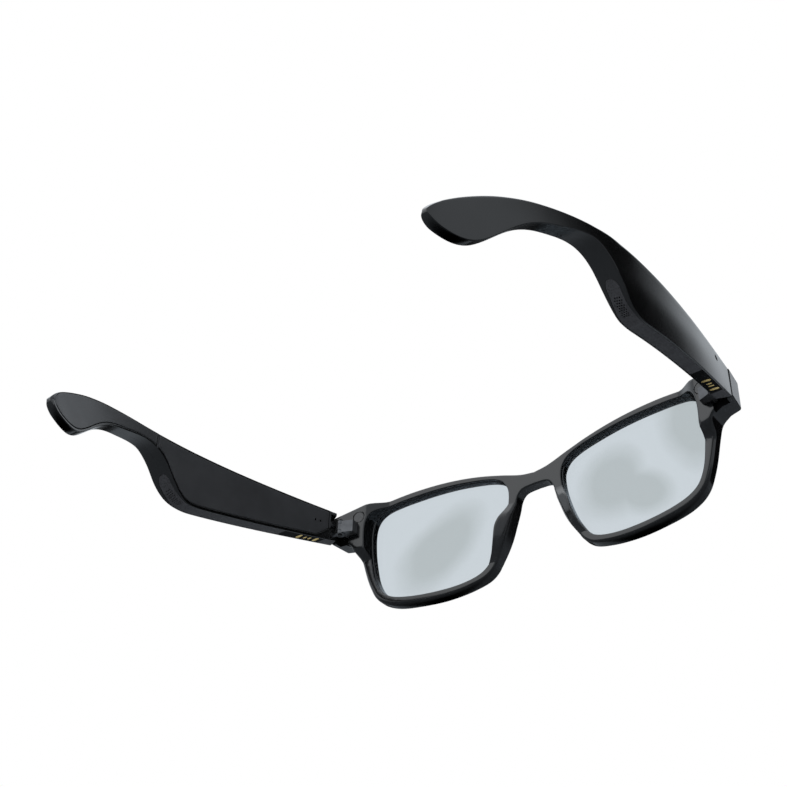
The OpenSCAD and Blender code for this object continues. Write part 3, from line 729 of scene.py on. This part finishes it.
def shell_finish(x, y, z, normal, side):
    """Finish of a face: satin by the hinge and between panels, grey below, and the dull black of painted
    shade in gaps and seats.
    """
    to_head = normal.x * side < -FACING
    below = normal.z < -FACING and y < RECESS_Y[0] and z < bottom(y) + 0.3
    beside = to_head and POCKET_Y < y < COVER_Y[0] and z > COVER_CORNER[0] - 0.6
    above = to_head and y < POCKET_Y and z > top(y) - END_WALL - 0.2
    rib = to_head and COVER_Y[1] + GROOVE < y < TIP_COVER_Y[0] - GROOVE
    butt = normal.y < -BUTT_FACING and y < BUTT_Y + BUTT_REACH
    seat_from = bottom(y) + (SEAT_FROM if y < COVER_Y[1] else TIP_SEAT_FROM)
    sunk = in_panel(y) and SEAT_DEPTH[0] < x - inner(y, z) < SEAT_DEPTH[1] and z > seat_from
    # Painted shade: the butt end and the walls of the seats get the dull black
    if butt or sunk:
        return GAP_SHADE
    if below:
        return STRIP
    return SATIN if beside or above or rib else GLOSS


# Microphone's slot: its size, and what counts as inside it by place and by depth, where its walls get the
# dull black of painted shade
MIC_DEPTH = 0.75
MIC_R = 0.72
MIC_STRETCH = (0, 0.4, 0.04)
MIC_REACH = 1.4
MIC_SHADE_DEPTH = (0.12, 0.9)


def temple_shell(name, side):
    rings = [[slanted(p.x, y, p.y) for p in shell_ring(y)] for y in temple_stations()]
    piece = make_piece(f"{name}_shell_skin", *loft(rings), side, f"{name}_temple", "gloss_black",
                       f"{name}_temple_shell", SHELL_FINISHES)
    for face in piece.data.polygons:
        looks = shell_finish(*place_of(face, side), face.normal, side)
        face.material_index = SHELL_FINISHES.index(looks)
    x = outer(*MIC_AT)
    ends = (x - MIC_DEPTH, *MIC_AT), (x + 1, *MIC_AT)
    cut(piece, [tube(*ends, MIC_R, side, stretch=MIC_STRETCH)], "MANIFOLD")
    # Painted shade: the walls inside the microphone's slot get the dull black
    for face in piece.data.polygons:
        x, y, z = place_of(face, side)
        near = math.hypot(y - MIC_AT[0], z - MIC_AT[1]) < MIC_REACH
        if near and MIC_SHADE_DEPTH[0] < outer(y, z) - x < MIC_SHADE_DEPTH[1]:
            face.material_index = SHELL_FINISHES.index(GAP_SHADE)


EDGE_STEPS = 4
PLATE_ROWS = 7
SINK_SHARE = 0.45
ROUND_SHARE = 0.3


def plate_rings(start, end, t):
    """Rings of a panel between two places, with rounded edges all round."""
    turned = [math.pi / 2 * i / EDGE_STEPS for i in range(EDGE_STEPS + 1)]
    ends = [start + PLATE_EDGE * (1 - math.cos(a)) for a in turned]
    ends += [end - PLATE_EDGE * (1 - math.cos(a)) for a in turned]
    between = [y for y in temple_stations() if start + PLATE_EDGE < y < end - PLATE_EDGE]
    rings = []
    for y in sorted(ends + between):
        near = min(1, min(y - start, end - y) / PLATE_EDGE)
        sink = PLATE_EDGE * (1 - math.sqrt(max(0, 1 - (1 - near) ** 2)))
        high, low = plate_lines(min(y, TIP_COVER_Y[1] - STEP))
        sink = min(sink, SINK_SHARE * (high - low))
        high, low = high - sink, low + sink
        round_edge = max(min(PLATE_EDGE, ROUND_SHARE * (high - low)), STEP)
        corners = [(inner(y, low) + sink, low, round_edge), (inner(y, low) + t, low, 0)]
        corners += [(inner(y, high) + t, high, 0), (inner(y, high) + sink, high, round_edge)]
        corners += [(inner(y, z) + sink, z, 0) for z in span(high, low, PLATE_ROWS)[1:]]
        rings.append([(p.x, y, p.y) for p in fillet(corners)])
    return rings


PORT_R = 0.38
PORT_SIDES = 16
PORT_EDGE = 0.1
TIP_COVER_T = COVER_T - 0.1


def temple_panels(name, side):
    """The cover with its two ports, whose walls get the dull black of painted shade, and the plain panel of
    the tip.
    """
    body = f"{name}_temple"
    rings = plate_rings(*COVER_Y, COVER_T)
    cover = make_piece(f"{name}_cover_skin", *loft(rings), side, body, "satin_grey",
                       f"{name}_inner_cover", [SATIN, GAP_SHADE])
    ports = []
    for y, z in COVER_PORTS:
        x = inner(y, z)
        ports.append(tube((x - 1, y, z), (x + 2, y, z), PORT_R, side, PORT_SIDES))
    cut(cover, ports)
    # Painted shade: the walls of the ports get the dull black
    for face in cover.data.polygons:
        place = place_of(face, side)[1:]
        near = min(math.dist(place, port) for port in COVER_PORTS)
        face.material_index = 1 if near < PORT_R + PORT_EDGE and abs(face.normal.x) < FACING else 0
    rings = plate_rings(*TIP_COVER_Y, TIP_COVER_T)
    make_piece(f"{name}_tip_skin", *loft(rings), side, body, "satin_grey", f"{name}_tip_cover", [SATIN])


# Strip: its gap to the recess, the room at its front end and above it, its edges, and its rows
STRIP_GAP = 0.09
GAP_SHARE = 0.45
STRIP_ROOM = 0.06
STRIP_R = 0.14
ACROSS_SHARES = (0.25, 0.5, 0.75)
# Sound outlet: small holes in rows that take turns
SOUND_ROWS = 9
SOUND_COLUMNS = ((-1, 0, 1), (-1.5, -0.5, 0.5, 1.5))
SOUND_PITCH = 0.58
SOUND_FROM = 79.9
SOUND_ACROSS = 0.6
HOLE_R = 0.21
HOLE_SIDES = 12
HOLE_DEPTH = 1.6
RISE_OVER = 0.1


def on_bottom(y):
    """Middle of the bottom edge, the way across the strip, and the way into the temple there."""
    (xi, zi), (xo, zj) = strip_edges(y)
    rise = (bottom(y + RISE_OVER, 0.5) - bottom(y - RISE_OVER, 0.5)) / (2 * RISE_OVER)
    across = Vector((1, 0, (zj - zi) / max(xo - xi, 0.1)))
    return Vector(((xi + xo) / 2, y, (zi + zj) / 2)), across, Vector((0, -rise, 1)).normalized()


def speaker_strip(name, side):
    """The strip in the bottom, with the holes of the sound outlet."""
    start, end = CONTACT_Y + STRIP_ROOM, RECESS_Y[1] - STRIP_GAP
    stations = [start] + [y for y in temple_stations() if start + 0.2 < y < end - 0.05] + [end]
    rings = []
    for y in stations:
        (xi, zi), (xo, zj) = strip_edges(y)
        gap = min(STRIP_GAP, GAP_SHARE * (xo - xi))
        xi, xo = xi + gap, xo - gap
        edge = max(min(STRIP_R, ROUND_SHARE * (xo - xi)), STEP)
        across = [(xi + (xo - xi) * s, zi + (zj - zi) * s, 0) for s in ACROSS_SHARES]
        t = STRIP_T - STRIP_ROOM
        corners = [(xi, zi, edge), *across, (xo, zj, edge), (xo, zj + t, 0), (xi, zi + t, 0)]
        rings.append([(p.x, y, p.y) for p in fillet(corners)])
    piece = make_piece(f"{name}_strip_skin", *loft(rings), side, f"{name}_temple", "satin_grey",
                       f"{name}_speaker_strip", [STRIP])
    holes = []
    for i in range(SOUND_ROWS):
        middle, across, way = on_bottom(SOUND_FROM + SOUND_PITCH * i)
        for j in SOUND_COLUMNS[i % 2]:
            centre = middle + across * SOUND_ACROSS * j
            holes.append(tube(centre - way, centre + way * HOLE_DEPTH, HOLE_R, side, HOLE_SIDES))
    triangulate(piece)
    cut(piece, [join(holes)], "MANIFOLD")


def triangulate(piece):
    """Triangles only, so that holes leave no slivers."""
    whole = bmesh.new()
    whole.from_mesh(piece.data)
    bmesh.ops.triangulate(whole, faces=whole.faces)
    whole.to_mesh(piece.data)
    whole.free()


def join(solids):
    """One object from several cutters that don't touch."""
    whole = bmesh.new()
    for solid in solids:
        whole.from_mesh(solid.data)
    whole.to_mesh(solids[0].data)
    whole.free()
    for solid in solids[1:]:
        bpy.data.objects.remove(solid)
    return solids[0]


# Front

BROW_POINTS = (
    (0, 34.8), (5, 35.6), (12.3, 38), (19.8, 40.1), (27.3, 41.5), (35, 42.2), (43, 42.2), (50, 41.6),
    (58, 40.2), (66, 38.3), (69.6, 37.4),
)
RIM_POINTS = (
    (68.4, 26.4), (65.7, 24.5), (64.3, 21), (62.2, 13.6), (60.6, 9.3), (58.7, 5.7), (55.8, 3.1), (51, 1.3),
    (44, 0.4), (36, 0), (30, 0.3), (24.4, 1.1), (19, 2.6), (16, 4.9), (14.2, 7.9), (12.3, 11), (10.5, 14.8),
    (8.8, 19.8), (7.5, 23.8), (6.4, 27.8), (4.6, 29.8), (0, 30.3),
)
OPENING_POINTS = (
    (9.7, 29.5), (10.2, 32.6), (12.2, 35.5), (16, 37.4), (22, 38.8), (30, 39.9), (38, 40.2), (46, 39.8),
    (52, 39.1), (56.6, 37.9), (59.4, 35.6), (60.8, 31.5), (60.8, 24), (60, 17.5), (59, 12.5), (57.4, 8.6),
    (55.6, 6.4), (52.5, 4.7), (48, 3.6), (42, 2.9), (35, 2.6), (28.5, 2.8), (23, 3.7), (19.6, 5.1),
    (17.2, 7.4), (14.6, 11.5), (12.8, 15.5), (11.3, 20), (10.2, 24.5),
)
END_CORNERS = ((FRONT_W / 2, 36.75, 0.9), (FRONT_W / 2 - 0.15, 26.85, 0.8))
OUTLINE_STEPS = 6
OPENING = spline(OPENING_POINTS, 5, closed=True)
CORNER_STEPS = 5
ARC_STEPS = 4
# Radii of the edges, with what they gain or lose, and where
OPENING_EDGE = 0.35
BROW_EDGE = 0.5
LOWER_EDGE = 0.35
LOWER_Z = (20, 28)
SIDE_EDGE = 0.55
SIDE_X = (20, 45)
FRONT_EDGE = 0.7
END_EDGE = 0.25
END_X = (64, 69)


def arc_corner(before, corner, after):
    return fillet([(*before, 0), corner, (*after, 0)], CORNER_STEPS)[1:-1]


def front_outline():
    """Closed outline of the front, clockwise seen from the front with the wearer's left on the right."""
    brow, rim = spline(BROW_POINTS, OUTLINE_STEPS), spline(RIM_POINTS, OUTLINE_STEPS)
    high, low = END_CORNERS
    half = brow + arc_corner(brow[-1], high, low[:2]) + arc_corner(high[:2], low, rim[0]) + rim
    other = [Vector((-p.x, p.y)) for p in reversed(half[1:-1])]
    return half + other


def rear_y(x, z):
    """Rear face of the front: the wrap, with the end pieces standing out of it."""
    x = abs(x)
    low = fade(z, *BOSS_LOW) if x < BOSS_SIDE else 1
    return wrap_y(x) + BOSS_T * fade(x, *BOSS_X) * low


def front_y(x, z):
    return wrap_y(x) - RIM_DEPTH


def rear_edge(x, z):
    """Radius of the rear outer edge, largest on the lower outer rim."""
    lower = 1 - fade(z, *LOWER_Z)
    return BROW_EDGE + lower * (LOWER_EDGE + SIDE_EDGE * fade(abs(x), *SIDE_X))


def front_edge(x, z):
    return FRONT_EDGE - END_EDGE * fade(abs(x), *END_X)


def opening_edge(x, z):
    return OPENING_EDGE


def loop_normals(line):
    n = len(line)
    ways = [(line[(i + 1) % n] - line[i - 1]).normalized() for i in range(n)]
    return [Vector((way.y, -way.x)) for way in ways]


def edge_loops(line, inward, radius, surface, depth_sign):
    """Loops of a rounded edge, from the wall to the face. inward is 1 to move to the line's right."""
    loops = []
    normals = loop_normals(line)
    for k in range(ARC_STEPS + 1):
        angle = math.pi / 2 * k / ARC_STEPS
        loop = []
        for p, normal in zip(line, normals):
            r = radius(p.x, p.y)
            q = p + normal * inward * r * (1 - math.cos(angle))
            loop.append((q.x, surface(q.x, q.y) - depth_sign * r * (1 - math.sin(angle)), q.y))
        loops.append(loop)
    return loops


def inside(loop, x, z):
    """True if (x, z) lies inside a closed line of (x, y, z)."""
    odd = False
    for (x0, _, z0), (x1, _, z1) in zip(loop, loop[1:] + loop[:1]):
        if (z0 > z) != (z1 > z) and x < (x1 - x0) * (z - z0) / (z1 - z0) + x0:
            odd = not odd
    return odd


def within(outer_loop, holes, x, z):
    """True if (x, z) lies in a face with holes."""
    return inside(outer_loop, x, z) and not any(inside(hole, x, z) for hole in holes)


# Points within a face: a fine grid on the end pieces' ramps, every third point of it elsewhere
GRID = 0.5
GRID_HALF = 150
GRID_ROWS = 90
COARSE = 3
RAMP_X = (52, 67)
RAMP_Z = 22
EDGE_ROOM = 0.45


def face_grid(outer_loop, holes):
    """Places for points within a face of the front."""
    places = []
    for i in range(-GRID_HALF, GRID_HALF + 1):
        for j in range(GRID_ROWS):
            x, z = GRID * i, GRID * j
            on_ramp = RAMP_X[0] < abs(x) < RAMP_X[1] and z > RAMP_Z
            if not on_ramp and (i % COARSE or j % COARSE):
                continue
            near = min(math.hypot(x - p[0], z - p[2]) for loop in (outer_loop, *holes) for p in loop)
            if near > EDGE_ROOM and within(outer_loop, holes, x, z):
                places.append((x, z))
    return places


# Painted shade of the front, in the dull black: how deep, and how far round the hinge, the cap and the end
SUNK = 0.15
NOTCH_ROOM = 0.05
STRAIGHT = 0.95
CAP_ROOM = 0.25
END_FACE_X = 70.3


def in_painted_shade(face):
    """True where the front gets painted shade: in the hinge's recess, the ring round the cap and the gap to
    the temple.
    """
    x, y, z = place_of(face, math.copysign(1, face.center.x))
    sunk = rear_y(x, z) - y > SUNK and face.normal.z > -0.5
    pocket = CORE_X - 0.1 < x < PIVOT[0] and y > CORE_Y - 0.4 and CORE_Z[0] - 0.3 < z < CORE_Z[1] + 0.3
    straight = max(abs(face.normal.x), face.normal.y) > STRAIGHT
    beside = NOTCH[0][0] - NOTCH_ROOM < x < NOTCH[0][1] + NOTCH_ROOM
    notch = beside and y > NOTCH[1] - NOTCH_ROOM and z < CORE_Z[0] and straight
    ring = math.hypot(x - CAP_AT[0], z - CAP_AT[1]) < CAP_R + CAP_ROOM and y > CORE_Y
    butt = x > END_FACE_X and face.normal.y > FACING and y > END_Y - 1
    return sunk and (pocket or notch) or ring or butt


def front_frame():
    """The front: rounded edges, lens openings with lips, and recesses for the hinges and caps."""
    openings = OPENING, [Vector((-p.x, p.y)) for p in reversed(OPENING)]
    rims = [(front_outline(), 1, rear_edge, front_edge, [])]
    rims += [(line, -1, opening_edge, opening_edge, lens_lip(line)) for line in openings]
    points, faces, rear_loops, front_loops = [], [], [], []
    for line, inward, behind, before, lips in rims:
        wall = edge_loops(line, inward, behind, rear_y, 1)
        fore = edge_loops(line, inward, before, front_y, -1)
        starts = []
        for loop in fore[::-1] + lips + wall:
            starts.append(len(points))
            points += loop
        for a, b in zip(starts, starts[1:]):
            for j in range(len(line)):
                k = (j + 1) % len(line)
                quad = (a + j, a + k, b + k, b + j)
                faces.append(quad[::inward])
        rear_loops.append((starts[-1], wall[-1]))
        front_loops.append((starts[0], fore[-1]))
    for loops, surface, flip in ((rear_loops, rear_y, False), (front_loops, front_y, True)):
        fill_face(points, faces, loops, surface, flip)
    points = [flared(*p) for p in points]
    piece = make_piece("front_skin", points, faces, 1, "front", "gloss_black", "front_frame", [GLOSS, GAP_SHADE])
    cut(piece, [cutter for side in SIDES.values() for cutter in end_cutters(side)])
    # Painted shade: faces in the hinge's recess, round the cap and at the end get the dull black
    for face in piece.data.polygons:
        face.material_index = 1 if in_painted_shade(face) else 0


# The ends flare towards the rear, and their rear faces stand back a little from the temples
FLARE_X = (68.5, 71.5)
FLARE = 0.13
FLARE_Y = 5.4
SET_BACK = 0.1
SET_BACK_X = (70, 71)
SET_BACK_Y = (8, 10)


def flared(x, y, z):
    """A point of the front, moved so that the end faces run on from the outer sides of the temples."""
    share = fade(abs(x), *FLARE_X)
    back = y - SET_BACK * fade(abs(x), *SET_BACK_X) * fade(y, *SET_BACK_Y)
    return x + math.copysign(FLARE * (y - FLARE_Y) * share, x), back, z


# Lips of a lens from front to rear: before or behind it, depth along the wall, height off it
LIP_PROFILE = (
    (-1, 0.05, 0), (-1, 0.25, 0.22), (-1, 0.5, 0.22), (1, 0.5, 0.22), (1, 0.25, 0.22), (1, 0.05, 0),
)
LIP_REACH = 0.55


def lens_lip(line):
    """Loops of the small lips before and behind the lens."""
    lips = []
    normals = loop_normals(line)
    for place, depth, stand in LIP_PROFILE:
        off = place * (LENS_T / 2 + LIP_REACH - depth)
        moved = [p + normal * stand for p, normal in zip(line, normals)]
        lips.append([(q.x, wrap_y(q.x) - LENS_INSET - LENS_T / 2 + off, q.y) for q in moved])
    return lips


def fill_face(points, faces, loops, surface, flip):
    """Triangles over a face of the front between its outline and the openings."""
    flat, index, edges = [], [], []
    for start, loop in loops:
        base = len(flat)
        for j, p in enumerate(loop):
            flat.append(Vector((p[0], p[2])))
            index.append(start + j)
            edges.append((base + j, base + (j + 1) % len(loop)))
    outer_loop, holes = loops[0][1], [loop for _, loop in loops[1:]]
    for x, z in face_grid(outer_loop, holes):
        flat.append(Vector((x, z)))
        index.append(len(points))
        points.append((x, surface(x, z), z))
    spots, _, triangles, origins, _, _ = delaunay_2d_cdt(flat, edges, [], 0, 1e-6)
    for triangle in triangles:
        x = sum(spots[v].x for v in triangle) / 3
        z = sum(spots[v].y for v in triangle) / 3
        if within(outer_loop, holes, x, z):
            face = tuple(index[origins[v][0]] for v in triangle)
            faces.append(face if flip else face[::-1])


# Room round the hinge's core and the cap, and how far the cutters reach
CORE_ROOM = 0.15
CORE_SLACK = 0.06
CORE_BEHIND = 0.2
NOTCH_FOOT = 20
FAR_Y = 25
CAP_GAP = 0.16
CAP_UNDER = 0.05
CAP_OVER = 0.5
CAP_SIDES = 40


def end_cutters(side):
    """Cutters for an end piece: the hinge core's pocket, the notch below the knuckles, and the cap's hole."""
    low = (CORE_X - CORE_SLACK, CORE_Y - CORE_BEHIND, CORE_Z[0] - CORE_ROOM)
    high = (PIVOT[0] - CORE_SLACK, FAR_Y, CORE_Z[1] + CORE_ROOM)
    notch = block((NOTCH[0][0], NOTCH[1], NOTCH_FOOT), (NOTCH[0][1], FAR_Y, CORE_Z[0]), side)
    x, z = CAP_AT
    lean = math.asin(x / WRAP_R)
    way = Vector((-math.sin(lean), math.cos(lean), 0))
    seat = Vector((x, wrap_y(x) + BOSS_T, z))
    ends = seat - way * (CAP_T + CAP_UNDER), seat + way * CAP_OVER
    return [block(low, high, side), notch, tube(*ends, CAP_R + CAP_GAP, side, CAP_SIDES)]


# Lenses and nose pads

LENS_SHARES = (0.02, 0.25, 0.5, 0.75, 0.9, 0.97, 1)
LENS_SHARP = 50


def lens(name, side):
    """A lens that follows the wrap and is held in the opening's wall."""
    edge = [p - normal * LENS_GRIP for p, normal in zip(OPENING, loop_normals(OPENING))]
    centre = sum(edge, Vector((0, 0))) / len(edge)
    rings = []
    for face, order in ((0, LENS_SHARES), (1, LENS_SHARES[::-1])):
        for share in order:
            places = [centre + (p - centre) * share for p in edge]
            rings.append([(q.x, wrap_y(q.x) - LENS_INSET - LENS_T * face, q.y) for q in places])
    make_piece(f"{name}_lens_skin", *loft(rings), side, "front", "lens", f"{name}_lens", [LENS], LENS_SHARP)


# A pad covers the nose side of the rim and sweeps back and outwards to a rounded ridge
PAD_FOOT = 6.8
PAD_HEAD = 25.8
PAD_ROOT = (
    (PAD_FOOT, 14.85, -0.6), (11, 12.3, -0.55), (14.8, 10.5, -0.4), (19.8, 8.8, -0.33),
    (PAD_HEAD, 6.95, -0.3),
)
PAD_RIM = (
    (PAD_FOOT, 17.6, -0.7), (11.5, 14.6, -0.5), (15.5, 12.8, -0.38), (20, 11.3, -0.3),
    (PAD_HEAD, 9.9, -0.22),
)
RIDGE_X = (
    (PAD_FOOT, 17.7, -0.6), (11.85, 15.3, -0.36), (14.65, 14.5, -0.18), (18.4, 14, -0.25),
    (20.9, 13.05, -0.5), (23.1, 11.7, -0.68), (PAD_HEAD, 10, -0.5),
)
RIDGE_Y = (
    (PAD_FOOT, 1.15, 0.4), (9.1, 2.2, 0.5), (11.85, 3.5, 0.42), (14.65, 4.5, 0.2), (17, 4.7, 0),
    (20.9, 3.9, -0.42), (23.1, 2.5, -0.7), (PAD_HEAD, 1.1, -0.3),
)
PAD_FRONT = -2.7
PAD_SKIN = 0.05
PAD_LIFT = 0.06
PAD_ROWS = 48
PAD_STEPS = 10
PAD_SHARP = 40
# The pad's face bends back at a depth that follows the ridge up to a limit
BEND_MOST = 2.2
BEND = (0.55, 0.5)
BEND_R = 4
RIDGE_R = 0.6


def nose_pad(name, side):
    """A nose pad, in sections from its foot to its head."""
    rings = []
    for z in span(PAD_FOOT, PAD_HEAD, PAD_ROWS) + [PAD_HEAD]:
        root, rim = curve(PAD_ROOT, z) - PAD_SKIN, curve(PAD_RIM, z)
        ridge = Vector((max(curve(RIDGE_X, z), rim + 0.1), curve(RIDGE_Y, z)))
        bend = min(BEND_MOST, BEND[0] + BEND[1] * ridge.y)
        corners = [(root, PAD_FRONT, 0), (root, -1, 0), (root, bend, BEND_R), (*ridge, RIDGE_R)]
        corners += [(rim + PAD_LIFT, 0.7, 0), (rim - 0.5, 0.1, 0), (root + 0.7, PAD_FRONT + 0.2, 0)]
        rings.append([(p.x, p.y, z) for p in fillet(corners, PAD_STEPS)])
    make_piece(f"{name}_pad_skin", *loft(rings), side, "front", "pad_black", f"{name}_nose_pad", [PAD],
               PAD_SHARP)


# Camera of the photograph, in millimetres in the part's frame

EYE = Vector((-179.41, 237.09, -196.75))
FORWARD = Vector((0.47008, -0.65079, 0.59624))
UP = Vector((-0.34355, 0.48734, 0.80279))
LENS_MM = 60.66
SHIFT = (-0.0448, 0.0004)


def add_camera():
    data = bpy.data.cameras.new("camera")
    data.sensor_width = 36
    data.lens = LENS_MM
    data.shift_x, data.shift_y = SHIFT
    data.clip_start = 0.01
    data.clip_end = 20
    camera = scene.camera = add_object("camera", data)
    right = FORWARD.cross(UP).normalized()
    facing = Matrix((right, UP, -FORWARD)).transposed().to_4x4()
    camera.matrix_world = Matrix.Translation(EYE * MM) @ facing


# Studio: a pale floor, a white surround, and soft light with dark panels for the reflections

DIFFUSE = (0.5, 0.5, 0.5, 1)
GLOSS_TINT = (0.88, 0.94, 1, 1)
SOFT_RISE = 6
# Dark panels in degrees: azimuth from +Y towards +X, half width, soft edge, lowest, highest; share taken away
DARK_PANELS = ((-138, 14, 22, -30, 45, 0.99), (128, 40, 12, -30, 8, 0.92), (152, 14, 10, 8, 36, 0.95))


def mirrored(tree, path):
    """1 for light that a surface has mirrored on its way to the camera."""
    return maths(tree, "GREATER_THAN", path.outputs["Glossy Depth"], 0.5)


def beside_panel(tree, direction, azimuth, half, soft, low, high, depth):
    """Light left over in a direction by one dark panel."""
    flat = vector_maths(tree, "MULTIPLY", direction, (1, 1, 0)).outputs["Vector"]
    level = vector_maths(tree, "NORMALIZE", flat).outputs["Vector"]
    turned = math.radians(azimuth)
    middle = (math.sin(turned), math.cos(turned), 0)
    along = vector_maths(tree, "DOT_PRODUCT", level, middle).outputs["Value"]
    height = add_node(tree, "SeparateXYZ", {0: direction}).outputs["Z"]
    width = [math.cos(math.radians(a)) for a in (half + soft, half)]
    rise = [math.sin(math.radians(a)) for a in (low - SOFT_RISE, low)]
    fall = [math.sin(math.radians(a)) for a in (high + SOFT_RISE, high)]
    share = 1
    for value, limits in ((along, width), (height, rise), (height, fall)):
        step = map_range(tree, value, limits, interpolation="SMOOTHSTEP")
        share = maths(tree, "MULTIPLY", share, step)
    return maths(tree, "MULTIPLY_ADD", share, -depth, 1)


def add_world():
    """White where the camera sees it, plain light for dull surfaces, and dark panels in glossy ones."""
    world = scene.world = bpy.data.worlds.new("studio")
    world.use_nodes = True
    tree = world.node_tree
    path = add_node(tree, "LightPath")
    direction = add_node(tree, "TexCoord").outputs["Generated"]
    level = 1
    for panel in DARK_PANELS:
        level = maths(tree, "MULTIPLY", level, beside_panel(tree, direction, *panel))
    in_gloss = mirrored(tree, path)
    glossy = mix(tree, in_gloss, DIFFUSE, mix(tree, level, (0, 0, 0, 1), GLOSS_TINT))
    through = maths(tree, "SUBTRACT", path.outputs["Is Transmission Ray"], in_gloss)
    seen = maths(tree, "MAXIMUM", path.outputs["Is Camera Ray"], through)
    feed(tree, tree.nodes["Background"], {"Color": mix(tree, seen, glossy, (1, 1, 1, 1))})


FLOOR_SIZE = 3
FLOOR_TONES = ((0.78, 0.78, 0.785), (0.82, 0.82, 0.825))
FLOOR_WAVES = 12
FLOOR_ROUGH = 0.9
# Floor's tone in reflections only, darker than the floor itself: a painted darker reflection for glossy faces
# that mirror it
FLOOR_MIRRORED = (0.34, 0.36, 0.38, 1)


def add_floor():
    """Pale floor that shows from above only, because the photograph looks up at the object."""
    mesh = bpy.data.meshes.new("floor")
    half = FLOOR_SIZE / 2
    corners = [(-half, -half, 0), (half, -half, 0), (half, half, 0), (-half, half, 0)]
    mesh.from_pydata(corners, [], [(0, 1, 2, 3)])
    floor = add_object("floor", mesh)
    material, tree, shader = nodes_of("pale_floor")
    tone = two_tone(tree, noise(tree, FLOOR_WAVES), *FLOOR_TONES)
    # Painted darker reflection: rays mirrored off the object see the floor in the darker tone
    shown = mix(tree, mirrored(tree, add_node(tree, "LightPath")), tone, FLOOR_MIRRORED)
    feed(tree, shader, {"Base Color": shown, "Roughness": FLOOR_ROUGH})
    from_below = add_node(tree, "NewGeometry").outputs["Backfacing"]
    clear = add_node(tree, "BsdfTransparent").outputs["BSDF"]
    both = add_node(tree, "MixShader", {"Fac": from_below, 1: shader.outputs["BSDF"], 2: clear})
    feed(tree, tree.nodes["Material Output"], {"Surface": both.outputs["Shader"]})
    mesh.materials.append(material)


def add_lamp(name, place, size, power):
    """Square lamp that looks at the object, placed in metres."""
    data = bpy.data.lights.new(name, "AREA")
    data.size = size
    data.energy = power
    lamp = add_object(name, data)
    lamp.location = place
    lamp.rotation_euler = (-Vector(place)).to_track_quat("-Z", "Y").to_euler()


# The whole scene

add_camera()
add_world()
add_floor()
add_lamp("over", (0.2, 0.15, 0.9), 0.9, 2)
add_lamp("rear", (0.29, 0.72, 0.46), 0.7, 1.4)
scene.view_settings.view_transform = "Standard"
front_frame()
for name, side in SIDES.items():
    temple_shell(name, side)
    temple_panels(name, side)
    speaker_strip(name, side)
    lens(name, side)
    nose_pad(name, side)
dress_solids()
for piece in pieces:
    level = piece.modifiers.new("level", "WEIGHTED_NORMAL")
    level.keep_sharp = True
